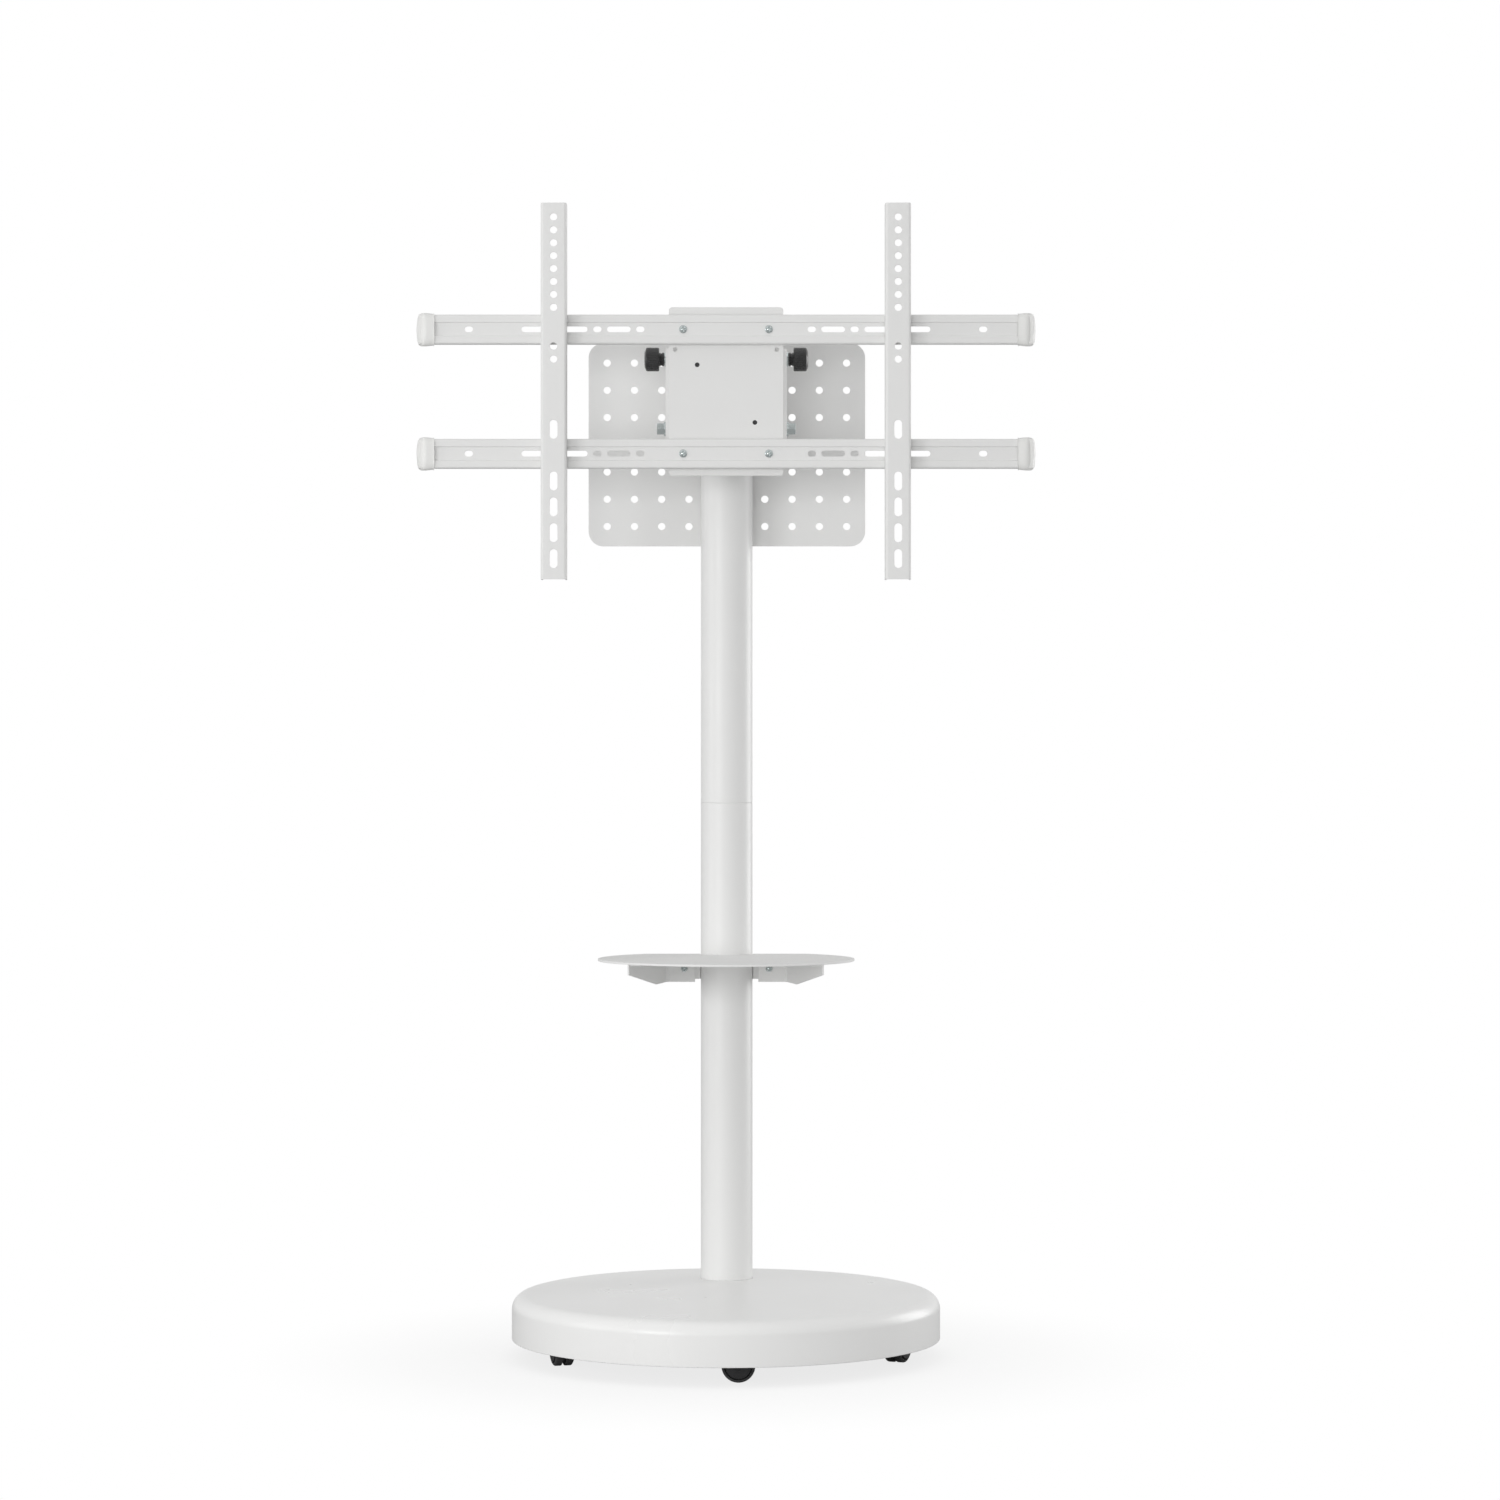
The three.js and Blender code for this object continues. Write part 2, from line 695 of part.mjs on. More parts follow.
// A saddle behind the pole with a flange behind each ear, and a weld nut on each flange.
function shelfClamp() {
  const y = (wingSheet + clampSheet) / 2;
  const radius = roundFlats(poleRadius + contactGap, 4 * arcSteps) + clampSheet / 2;
  const start = Math.asin(y / radius);
  const path = [
    new THREE.Vector2(clampHalfWidth, y),
    ...arc(0, 0, radius, start, Math.PI - start, 2 * arcSteps),
    new THREE.Vector2(-clampHalfWidth, y),
  ];
  const band = plate(strip(path, clampSheet), clampHeight).translate(0, 0, -clampDrop - clampHeight);
  const nutEnd = y + clampSheet / 2 + weldNutHeight;
  const atEars = (make) =>
    [-1, 1].map((side) => toRear(make()).translate(side * shelfScrewX, 0, shelfScrewZ));
  const nuts = atEars(() => rod(weldNutRadius, y, nutEnd, hexSides));
  const holes = atEars(() => bore(shelfScrewRadius, -overrun, nutEnd + overrun));
  return cut(joined(band, ...nuts), ...holes);
}

function buildShelf() {
  const shelf = new THREE.Group();
  shelf.add(mesh("shelf_plate", shelfPlate(), greyPowder));
  shelf.add(mesh("shelf_wing_left", shelfWing(-1), greyPowder));
  shelf.add(mesh("shelf_wing_right", shelfWing(1), greyPowder));
  shelf.add(mesh("shelf_clamp", shelfClamp(), greyPowder));
  const grip = wingSheet + clampSheet + weldNutHeight;
  for (const [name, side] of [["left", -1], ["right", 1]]) {
    const geometry = toRear(panScrew(shelfScrewRadius, grip, shelfScrewHeadRadius, shelfScrewHeadHeight));
    const node = mesh(`shelf_screw_${name}`, geometry, zinc);
    node.position.set(side * shelfScrewX, -wingSheet / 2, shelfScrewZ);
    shelf.add(node);
  }
  shelf.position.set(0, poleSetback, shelfHeight);
  return shelf;
}

// Equipment plate, on the pole's axis, with z = 0 at its middle

function equipmentPlate() {
  const [lastX, lastZ] = [equipmentWidth / 2 - equipmentMargin, equipmentHeight / 2 - equipmentMargin];
  const rowsEachWay = Math.floor(lastZ / equipmentPitch);
  const holes = [];
  for (let row = -rowsEachWay; row <= rowsEachWay; row++) {
    const z = row * equipmentPitch;
    for (let x = equipmentFirstColumn; x <= lastX; x += equipmentPitch) {
      holes.push(circle(x, z, equipmentHoleRadius), circle(-x, z, equipmentHoleRadius));
    }
  }
  for (const side of [-1, 1]) {
    const z = (side * equipmentScrewSpacing) / 2;
    holes.push(circle(0, z, roundFlats(equipmentScrewRadius + contactGap, holeSides)));
  }
  const outline = rectangle(equipmentWidth, equipmentHeight, equipmentCorner);
  return standing(outline, saddleReach, equipmentSheet, holes);
}

// A block between the round pole and a flat face: hollow to the pole, flat on the other side.
function saddleBlock(width, length, reach, rear) {
  const inner = roundFlats(poleRadius + contactGap, 4 * arcSteps);
  const half = Math.asin(width / 2 / inner);
  const sign = rear ? 1 : -1;
  const hollow = arc(0, 0, inner, Math.PI / 2 + half, Math.PI / 2 - half, arcSteps);
  const outline = [
    new THREE.Vector2(width / 2, reach),
    new THREE.Vector2(-width / 2, reach),
    ...hollow,
  ].map((p) => new THREE.Vector2(p.x, sign * p.y));
  return plate(outline, length).translate(0, 0, -length / 2);
}

function equipmentSaddle() {
  const block = saddleBlock(equipmentSaddleWidth, equipmentSaddleLength, saddleReach, true);
  const hole = (side) => {
    const cutter = toRear(bore(equipmentScrewRadius, 0, saddleReach + overrun));
    return cutter.translate(0, 0, (side * equipmentScrewSpacing) / 2);
  };
  return cut(block, hole(-1), hole(1));
}

function buildEquipment() {
  const equipment = new THREE.Group();
  equipment.add(mesh("equipment_plate", equipmentPlate(), greyPowder));
  equipment.add(mesh("equipment_saddle", equipmentSaddle(), blackPlastic));
  const grip = equipmentSheet + saddleThickness + poleWall + equipmentScrewHeadHeight;
  for (const [name, side] of [["lower", -1], ["upper", 1]]) {
    const shape = panScrew(equipmentScrewRadius, grip, equipmentScrewHeadRadius, equipmentScrewHeadHeight);
    const node = mesh(`equipment_screw_${name}`, toFront(shape), zinc);
    node.position.set(0, saddleReach + equipmentSheet, (side * equipmentScrewSpacing) / 2);
    equipment.add(node);
  }
  equipment.position.set(0, poleSetback, equipmentCentreHeight);
  return equipment;
}

// Tilting head, on the pole's axis, with z = 0 on the turning axis and y negative to the front

// A U of sheet: a web across the front or the rear and a cheek on each side.
function channel(halfWidth, webY, edgeY, height) {
  const middle = halfWidth - headSheet / 2;
  const inward = Math.sign(edgeY - webY) * yokeBend;
  const path = [
    new THREE.Vector2(-middle, edgeY),
    new THREE.Vector2(-middle, webY + inward),
    new THREE.Vector2(-middle + yokeBend, webY),
    new THREE.Vector2(middle - yokeBend, webY),
    new THREE.Vector2(middle, webY + inward),
    new THREE.Vector2(middle, edgeY),
  ];
  return plate(strip(path, headSheet), height).translate(0, 0, -height / 2);
}

// The fixed bracket: its cheeks carry the tilt axis below and an arc slot about it above.
function poleBracket() {
  const half = yokeHeight / 2;
  const webMiddle = -saddleReach - headSheet / 2;
  const slotEnd = clampRadius * Math.sin(tiltRange + slotSpareAngle) + clampBoltRadius;
  const edge = -pivotReach - slotEnd - slotMargin;
  const waist = -pivotReach - cheekWaist;
  const side = rounded([
    [-saddleReach + overrun, -half, 0],
    [-saddleReach + overrun, half, 0],
    [edge, half, cheekCorner],
    [edge, half - clampRadius / 3, cheekCorner],
    [waist, -pivotDrop + clampRadius / 5, cheekCorner],
    [waist, -half, cheekCorner],
  ]);
  const sheet = common(
    channel(bracketOuter, webMiddle, edge - overrun, yokeHeight),
    across(side, -yokeWidth, 2 * yokeWidth),
  );
  const block = saddleBlock(bracketSaddleWidth, bracketSaddleLength, saddleReach + headSheet / 2, false);
  const nutStart = bracketInner - pivotNutHeight;
  const nut = (sign) => {
    const hexagon = alongX(rod(pivotNutRadius, nutStart, bracketOuter - headSheet / 2, hexSides), sign);
    return hexagon.translate(0, -pivotReach, -pivotDrop);
  };
  const pivotHole = alongX(bore(pivotBoltRadius, -yokeWidth, yokeWidth));
  const slotWidth = 2 * (clampBoltRadius + contactGap);
  const slotShape = arcSlot(
    -pivotReach,
    -pivotDrop,
    clampRadius,
    slotWidth,
    Math.PI / 2,
    tiltRange + slotSpareAngle,
  );
  const boltHole = (sign) => {
    const cutter = toFront(bore(bracketBoltRadius, 0, bracketWebFront + overrun));
    return cutter.translate(0, 0, (sign * bracketBoltSpacing) / 2);
  };
  return cut(
    joined(sheet, block, nut(-1), nut(1)),
    pivotHole.translate(0, -pivotReach, -pivotDrop),
    across(slotShape, -yokeWidth, 2 * yokeWidth),
    boltHole(-1),
    boltHole(1),
  );
}

// The tilting yoke: its web carries the rotator, and its cheeks hang on the pivot bolts.
function tiltYoke() {
  const half = yokeHeight / 2;
  const rear = -pivotReach + pivotToYokeEdge;
  const side = rounded([
    [-yokeWebFront - overrun, -half, 0],
    [rear, -half, yokeCorner],
    [rear, half, yokeCorner],
    [-yokeWebFront - overrun, half, 0],
  ]);
  const webMiddle = -yokeWebFront + headSheet / 2;
  const sheet = common(
    channel(yokeWidth / 2, webMiddle, rear + overrun, yokeHeight),
    across(side, -yokeWidth, 2 * yokeWidth),
  );
  const reach = yokeWebFront + overrun;
  const shaftHole = toFront(bore(hubShaftRadius, pivotReach, reach, wheelSides));
  const indexHole = (sign) => {
    const cutter = toFront(rod(indexHoleRadius, pivotReach, reach, holeSides));
    return cutter.translate(sign * indexHoleOffset, 0, -sign * indexHoleOffset);
  };
  const pivotHole = alongX(bore(pivotBoltRadius, -yokeWidth, yokeWidth));
  const clampHole = alongX(bore(clampBoltRadius, -yokeWidth, yokeWidth));
  return cut(
    sheet,
    shaftHole,
    indexHole(-1),
    indexHole(1),
    pivotHole.translate(0, -pivotReach, -pivotDrop),
    clampHole.translate(0, -pivotReach, clampBoltZ),
  );
}

// A hexagon bolt with a washer under its head, its shank running in to the weld nut.
function pivotBolt(side) {
  const start = yokeWidth / 2 + contactGap;
  const middle = start + headWasherThickness / 2;
  const washerTop = start + headWasherThickness;
  const shank = rod(pivotBoltRadius, bracketInner - pivotNutHeight, middle, screwSides);
  const washer = rod(headWasherRadius, start, washerTop, wheelSides);
  const head = rod(pivotBoltHeadRadius, middle, washerTop + pivotBoltHeadHeight, hexSides);
  return alongX(joined(shank, washer, head), side).translate(0, -pivotReach, -pivotDrop);
}

// A bolt with a low round head inside the bracket, running out through slot and yoke to the knob.
function clampBolt(side) {
  const headTop = bracketInner - contactGap;
  const end = yokeWidth / 2 + headWasherThickness + clampBoltReach;
  const profile = [
    [0, headTop - clampBoltHeadHeight],
    [clampBoltHeadRadius / 2, headTop - clampBoltHeadHeight],
    [clampBoltHeadRadius, headTop - clampBoltHeadHeight / 3],
    [clampBoltHeadRadius, headTop],
    [clampBoltRadius, headTop],
    [clampBoltRadius, end],
    [0, end],
  ];
  return alongX(turned(profile, screwSides), side).translate(0, -pivotReach, clampBoltZ);
}

function knobWasher(side) {
  const [start, end] = [yokeWidth / 2, yokeWidth / 2 + headWasherThickness];
  const washer = ring(clampBoltRadius + contactGap, headWasherRadius, start, end, wheelSides);
  return alongX(washer, side).translate(0, -pivotReach, clampBoltZ);
}

// A round knob on a neck, bored for the clamp bolt.
function knob(side) {
  const start = yokeWidth / 2 + headWasherThickness + contactGap;
  const shoulder = start + knobNeckLength;
  const end = shoulder + knobLength;
  const inner = clampBoltRadius + contactGap;
  const innerEnd = start + clampBoltReach;
  const profile = [
    [0, innerEnd],
    [inner, innerEnd],
    [inner, start],
    [knobNeckRadius, start],
    [knobNeckRadius, shoulder],
    [knobRadius - knobDome / 2, shoulder],
    [knobRadius, shoulder + knobDome],
    [knobRadius, end - knobDome],
    [knobRadius / 2, end],
    [0, end],
  ];
  return alongX(turned(profile, wheelSides), side).translate(0, -pivotReach, clampBoltZ);
}

function bracketBolt() {
  const grip = headSheet + saddleThickness + poleWall + bracketBoltHeadHeight;
  const head = rod(bracketBoltHeadRadius, -bracketBoltHeadHeight, 0, hexSides);
  const shank = rod(bracketBoltRadius, -bracketBoltHeadHeight / 2, grip, screwSides);
  return toRear(joined(head, shank));
}

function buildHead() {
  const head = new THREE.Group();
  head.add(mesh("pole_bracket", poleBracket(), whitePowder));
  head.add(mesh("tilt_yoke", tiltYoke(), whitePowder));
  for (const [name, side] of [["left", -1], ["right", 1]]) {
    head.add(mesh(`pivot_bolt_${name}`, pivotBolt(side), zinc));
    head.add(mesh(`clamp_bolt_${name}`, clampBolt(side), zinc));
    head.add(mesh(`knob_washer_${name}`, knobWasher(side), blackenedSteel));
    head.add(mesh(`knob_${name}`, knob(side), blackPlastic));
  }
  for (const [name, side] of [["lower", -1], ["upper", 1]]) {
    const node = mesh(`bracket_bolt_${name}`, bracketBolt(), zinc);
    node.position.set(0, -bracketWebFront, (side * bracketBoltSpacing) / 2);
    head.add(node);
  }
  head.position.set(0, poleSetback, headHeight);
  return head;
}

// Rotator and mount frame, in the same place

// A flange behind the mount plate with a shaft that runs back through the yoke's web.
function rotatorHub() {
  const shaftEnd = -yokeWebRear + contactGap + rotatorNutHeight + hubShaftEnd;
  const profile = [
    [0, -hubFront],
    [hubRadius, -hubFront],
    [hubRadius, -hubRear],
    [hubShaftRadius, -hubRear],
    [hubShaftRadius, shaftEnd],
    [0, shaftEnd],
  ];
  return toRear(turned(profile, discSides));
}

function frictionWasher() {
  const inner = hubShaftRadius + contactGap;
  return toRear(ring(inner, frictionWasherRadius, -washerFront, -yokeWebFront, discSides));
}

function rotatorNut() {
  const [start, end] = [-yokeWebRear + contactGap, -yokeWebRear + contactGap + rotatorNutHeight];
  const nut = rod(rotatorNutRadius, start, end, hexSides);
  return toRear(cut(nut, bore(hubShaftRadius, start - overrun, end + overrun, wheelSides)));
}

function railScrewPlaces() {
  return [
    ["upper_left", -1, 1],
    ["upper_right", 1, 1],
    ["lower_left", -1, -1],
    ["lower_right", 1, -1],
  ].map(([name, right, up]) => ({ name, right, up, z: railRise + (up * railSpacing) / 2 }));
}

// The flat plate that carries the rails, with a press nut behind each rail screw.
function mountPlate() {
  const holes = [-1, 1].flatMap((side) => [
    circle(side * indexHoleOffset, -side * indexHoleOffset, indexHoleRadius),
    circle(side * cornerHoleX, cornerHoleZ, cornerHoleRadius),
  ]);
  const sheet = standing(
    rectangle(mountPlateWidth, mountPlateHeight, mountPlateCorner, 0, mountPlateRise),
    -mountPlateFront,
    mountPlateSheet,
    holes,
  );
  const [middle, nutEnd] = [-hubFront - mountPlateSheet / 2, -hubFront + weldNutHeight];
  const atScrews = (make) =>
    railScrewPlaces().map(({ right, z }) => toRear(make()).translate(right * railScrewX, 0, z));
  const nuts = atScrews(() => rod(weldNutRadius, middle, nutEnd, hexSides));
  const screwHoles = atScrews(() => bore(railScrewRadius, -mountPlateFront - overrun, nutEnd + overrun));
  return cut(joined(sheet, ...nuts), ...screwHoles);
}

// The rail's section in y and z: a rolled channel with a shallow groove along its front and a lip
// turned in along each rear edge.
function railSection() {
  const [half, groove] = [railHeight / 2, railGrooveWidth / 2];
  const [front, back] = [-railFront, -mountPlateFront];
  const floor = front + railGrooveDepth;
  const lip = half - railLip;
  return rounded([
    [front, groove, 0],
    [floor, groove, 0],
    [floor, -groove, 0],
    [front, -groove, 0],
    [front, -half, railCorner],
    [back, -half, railCorner / 2],
    [back, -lip, 0],
    [back - railWall, -lip, 0],
    [back - railWall, -half + railWall, 0],
    [front + railWall, -half + railWall, 0],
    [front + railWall, -groove - railWall, 0],
    [floor + railWall, -groove - railWall, 0],
    [floor + railWall, groove + railWall, 0],
    [front + railWall, groove + railWall, 0],
    [front + railWall, half - railWall, 0],
    [back - railWall, half - railWall, 0],
    [back - railWall, lip, 0],
    [back, lip, 0],
    [back, half, railCorner / 2],
    [front, half, railCorner],
  ]);
}

// The rail's slots, from its middle outwards: the long one takes the bolt of an arm.
function railSlots() {
  return [
    { x: armX - 4 * railSlotPitch, length: railOvalLength },
    { x: armX - 3 * railSlotPitch, length: railShortSlotLength },
    { x: armX - 2 * railSlotPitch, length: railOvalLength },
    { x: armX, length: railArmSlotLength },
    { x: armX + 4 * railSlotPitch, length: railOvalLength },
  ];
}

function rail() {
  const bar = across(railSection(), -railLength / 2, railLength);
  const [start, depth] = [-railFront - overrun, railGrooveDepth + railWall + 2 * overrun];
  const slots = [-1, 1].flatMap((side) =>
    railSlots().map(({ x, length }) => standing(slot(side * x, 0, length, railSlotWidth), start, depth)),
  );
  const screwHoles = [-1, 1].map((side) =>
    toRear(bore(railScrewRadius, start, start + depth)).translate(side * railScrewX, 0, 0),
  );
  return cut(bar, ...slots, ...screwHoles);
}

// An oval cap over the rail's end: its rim and its outer face lean in towards the front.
function endCap() {
  const [halfHeight, halfDepth] = [capHeight / 2, capDepth / 2];
  const middle = -mountPlateFront - railDepth / 2;
  const bend = (value) => Math.sign(value) * Math.abs(value) ** capOvalPower;
  const section = (x, scale, shear) =>
    Array.from({ length: capSides }, (_, i) => {
      const angle = (2 * Math.PI * i) / capSides;
      const y = halfDepth * scale * bend(Math.cos(angle));
      const z = halfHeight * scale * bend(Math.sin(angle));
      return [x + (shear * y) / halfDepth, middle + y, z];
    });
  const inset = 1 - capEdge / halfHeight;
  const end = railLength / 2 - capCavity + capLength - capEndShear;
  const start = railLength / 2 - capCavity;
  const rings = [
    section(start, 1, capRimShear),
    section(end - capEdge, 1, capEndShear),
    section(end, inset, capEndShear),
  ];
  const body = lofted(rings, [start, middle, 0], [end + capDome, middle, 0]);
  const room = rectangle(railDepth + 2 * contactGap, railHeight + 2 * contactGap, railCorner / 2, middle, 0);
  const mouth = start - capRimShear - overrun;
  return cut(body, across(room, mouth, railLength / 2 + contactGap - mouth));
}

// A closed solid through rings of points, in order along +x, with a point at each end.
function lofted(rings, first, last) {
  const sides = rings[0].length;
  const points = [first, ...rings.flat(), last];
  const faces = [];
  for (let i = 0; i < sides; i++) {
    const next = (i + 1) % sides;
    faces.push(0, 1 + next, 1 + i);
    for (let r = 0; r < rings.length - 1; r++) {
      const [a, b] = [1 + r * sides + i, 1 + r * sides + next];
      faces.push(a, b, b + sides, a, b + sides, a + sides);
    }
    const base = 1 + (rings.length - 1) * sides;
    faces.push(points.length - 1, base + i, base + next);
  }
  const geometry = new THREE.BufferGeometry();
  geometry.setAttribute("position", new THREE.Float32BufferAttribute(points.flat(), 3));
  geometry.setIndex(faces);
  return geometry;
}

function railScrew() {
  const grip = railDepth - railGrooveDepth + mountPlateSheet + weldNutHeight;
  return toRear(panScrew(railScrewRadius, grip, railScrewHeadRadius, railScrewHeadHeight));
}

// A perforated channel, open to the rear: round holes above its bolts and slots below.
function arm() {
  const half = (armWidth - armSheet) / 2;
  const web = -armFront + armSheet / 2;
  const rear = -railFront - contactGap;
  const path = [
    new THREE.Vector2(-half, rear),
    new THREE.Vector2(-half, web + armBend),
    new THREE.Vector2(-half + armBend, web),
    new THREE.Vector2(half - armBend, web),
    new THREE.Vector2(half, web + armBend),
    new THREE.Vector2(half, rear),
  ];
  const bar = plate(strip(path, armSheet), armLength).translate(0, 0, -armLength / 2);
  const boltZ = railSpacing / 2;
  const clear = (z) => Math.abs(Math.abs(z - railRise) - boltZ) > armBoltHeadRadius + armHoleRadius;
  const holes = [];
  for (let i = 0; i < armHoleCount; i++) {
    const z = armFirstHole + i * armHolePitch;
    if (clear(z)) holes.push(circle(0, z, armHoleRadius));
  }
  for (let i = 0; i < armSlotCount; i++) {
    const z = -armFirstSlot - i * armSlotPitch;
    if (clear(z)) holes.push(slot(0, z, armSlotLength, armSlotWidth, true));
  }
  const cutters = holes.map((hole) => standing(hole, -armFront - overrun, armSheet + 2 * overrun));
  return cut(bar, ...cutters);
}

// A bolt from inside the rail, out through its slot to the rear of the arm's face.
function armBolt() {
  const start = -railFront + railGrooveDepth + railWall + contactGap;
  const grip = armFront - armSheet - contactGap + start;
  const bolt = panScrew(armBoltRadius, grip, armBoltHeadRadius, armBoltHeadHeight);
  return toFront(bolt).translate(0, start, 0);
}

function buildMount() {
  const mount = new THREE.Group();
  mount.add(mesh("rotator_hub", rotatorHub(), blackenedSteel));
  mount.add(mesh("friction_washer", frictionWasher(), blackNylon));
  mount.add(mesh("rotator_nut", rotatorNut(), zinc));
  mount.add(mesh("mount_plate", mountPlate(), whitePowder));
  for (const [name, up] of [["upper", 1], ["lower", -1]]) {
    const node = mesh(`rail_${name}`, rail(), whitePowder);
    node.position.z = railRise + (up * railSpacing) / 2;
    mount.add(node);
  }
  for (const { name, right, z } of railScrewPlaces()) {
    const fastener = mesh(`rail_screw_${name}`, railScrew(), zinc);
    fastener.position.set(right * railScrewX, -railFront + railGrooveDepth, z);
    mount.add(fastener);
    const cap = mesh(`end_cap_${name}`, mirrored(endCap(), right), whitePlastic);
    cap.position.z = z;
    mount.add(cap);
    const bolt = mesh(`arm_bolt_${name}`, armBolt(), zinc);
    bolt.position.set(right * armX, 0, z);
    mount.add(bolt);
  }
  for (const [name, right] of [["left", -1], ["right", 1]]) {
    const node = mesh(`arm_${name}`, arm(), whitePowder);
    node.position.x = right * armX;
    mount.add(node);
  }
  mount.position.set(0, poleSetback, headHeight);
  return mount;
}

// The same shape on the other side of x = 0, with its faces still pointing out.
function mirrored(geometry, side) {
  if (side > 0) return geometry;
  const flipped = geometry.clone().scale(-1, 1, 1);
  const index = flipped.index.array;
  for (let i = 0; i < index.length; i += 3) [index[i], index[i + 1]] = [index[i + 1], index[i]];
  return flipped;
}

const stand = new THREE.Group();
stand.add(buildBase(), buildCasters(), buildPole(), buildShelf());
stand.add(buildEquipment(), buildHead(), buildMount());

export default stand;
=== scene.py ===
"""The finished surfaces of a television stand: a round white base on twin-wheel casters, a
two-section pole, a clamp-on shelf, a perforated equipment plate and a tilting, turning mount
frame. Metres, +Z up, +Y to the rear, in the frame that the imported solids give."""

import json
from math import acos, atan2, cos, pi, radians, sin, tan

import bmesh
import bpy
import numpy as np
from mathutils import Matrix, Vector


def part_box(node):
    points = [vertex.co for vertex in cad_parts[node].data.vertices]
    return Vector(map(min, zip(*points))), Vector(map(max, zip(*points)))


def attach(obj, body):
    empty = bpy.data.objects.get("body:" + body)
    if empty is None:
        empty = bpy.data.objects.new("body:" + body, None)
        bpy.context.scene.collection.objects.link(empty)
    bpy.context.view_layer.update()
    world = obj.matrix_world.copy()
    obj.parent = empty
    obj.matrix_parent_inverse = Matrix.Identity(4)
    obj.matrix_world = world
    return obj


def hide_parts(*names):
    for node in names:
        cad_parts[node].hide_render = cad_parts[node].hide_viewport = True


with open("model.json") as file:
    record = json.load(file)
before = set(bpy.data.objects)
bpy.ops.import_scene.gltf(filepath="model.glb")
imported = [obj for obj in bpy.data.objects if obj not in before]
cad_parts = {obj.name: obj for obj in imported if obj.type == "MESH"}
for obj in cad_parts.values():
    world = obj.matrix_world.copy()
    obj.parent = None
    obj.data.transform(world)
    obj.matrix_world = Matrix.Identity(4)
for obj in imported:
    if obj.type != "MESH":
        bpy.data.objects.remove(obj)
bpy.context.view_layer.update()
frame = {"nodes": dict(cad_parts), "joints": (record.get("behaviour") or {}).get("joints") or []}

bl_info = {
    "name": "Television stand",
    "version": (1, 0, 0),
    "blender": (4, 5, 0),
    "location": "3D View > Sidebar > Stand",
    "description": "Builds the surfaces and finishes of a television stand with a mount",
    "category": "Add Mesh",
}

MM = 0.001
UP, FRONT, REAR = (0, 0, 1), (0, -1, 0), (0, 1, 0)
SIDES = {"left": -1, "right": 1}
LEVELS = ("upper", "lower")
CASTERS = ("front", "right", "rear_right", "rear_left", "left")


def middle(node):
    """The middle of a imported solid's box at rest."""
    low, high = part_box(node)
    return np.array((low + high) / 2)


def reach(node, axis, side):
    """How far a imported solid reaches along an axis: its lowest place for -1, its highest for 1."""
    low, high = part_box(node)
    return (high if side > 0 else low)[axis]


POLE_Y = middle("pole_lower")[1]
POLE_RADIUS = reach("pole_lower", 0, 1)
HEAD_Z = middle("rotator_hub")[2]
JOINTS = {joint["name"]: joint for joint in frame["joints"]}


# Colours and nodes


def linear(colour):
    """An sRGB hex colour as linear red, green, blue and 1: each share c becomes c / 12.92 up to
    0.04045, and ((c + 0.055) / 1.055) to the power 2.4 above it."""
    shares = np.array([int(colour[i : i + 2], 16) for i in (1, 3, 5)]) / 255
    low, high = shares / 12.92, ((shares + 0.055) / 1.055) ** 2.4
    return (*np.where(shares <= 0.04045, low, high).tolist(), 1.0)


def add(tree, kind, inputs=None, **settings):
    """Adds a node with its settings. An input is given a value, or linked to another's output."""
    node = tree.nodes.new(kind)
    for name, value in settings.items():
        setattr(node, name, value)
    for socket, value in (inputs or {}).items():
        if isinstance(value, bpy.types.NodeSocket):
            tree.links.new(value, node.inputs[socket])
        else:
            node.inputs[socket].default_value = value
    return node


def empty_tree(owner):
    """The emptied node tree of a material or of the world."""
    owner.use_nodes = True
    owner.node_tree.nodes.clear()
    return owner.node_tree


def finish(name, tint, roughness, grain, clouds, metallic=0.0, spread=0.04, **own):
    """A surface finish on Object coordinates.

    tint names the colour property that gives its middle tone. grain is the size and the height in
    millimetres of its fine unevenness. clouds is the size in millimetres of its soft clouds and
    the share that they darken it by. roughness wanders by spread either way in the same clouds.
    own holds further constant inputs of the shader.
    """
    if name in bpy.data.materials:
        return bpy.data.materials[name]
    material = bpy.data.materials.new(name)
    tree = empty_tree(material)
    colour = tuple(getattr(bpy.context.scene.tv_stand_colours, tint))
    dark = (*(c * (1 - clouds[1]) for c in colour[:3]), 1.0)
    place = add(tree, "ShaderNodeTexCoord").outputs["Object"]
    sizes = ({"Scale": 1 / (clouds[0] * MM), "Detail": 3.0}, {"Scale": 1 / (grain[0] * MM)})
    drift, fine = (
        add(tree, "ShaderNodeTexNoise", {"Vector": place, **size}).outputs["Fac"] for size in sizes
    )
    tone = add(tree, "ShaderNodeMix", {0: drift, 6: colour, 7: dark}, data_type="RGBA")
    span = {"Value": drift, "From Min": 0.3, "From Max": 0.7}
    span |= {"To Min": roughness - spread, "To Max": roughness + spread}
    rough = add(tree, "ShaderNodeMapRange", span)
    height = grain[1] * MM
    bump = add(tree, "ShaderNodeBump", {"Height": fine, "Strength": 1.0, "Distance": height})
    inputs = {"Base Color": tone.outputs[2], "Metallic": metallic, **own}
    inputs |= {"Roughness": rough.outputs["Result"], "Normal": bump.outputs["Normal"]}
    shader = add(tree, "ShaderNodeBsdfPrincipled", inputs)
    add(tree, "ShaderNodeOutputMaterial", {"Surface": shader.outputs["BSDF"]})
    return material


def stoved_enamel():
    """Polyester enamel stoved on rolled steel: satin, with a faint orange peel of 1.4 mm waves."""
    return finish("stoved enamel", "enamel", 0.36, grain=(1.4, 0.02), clouds=(90, 0.02))


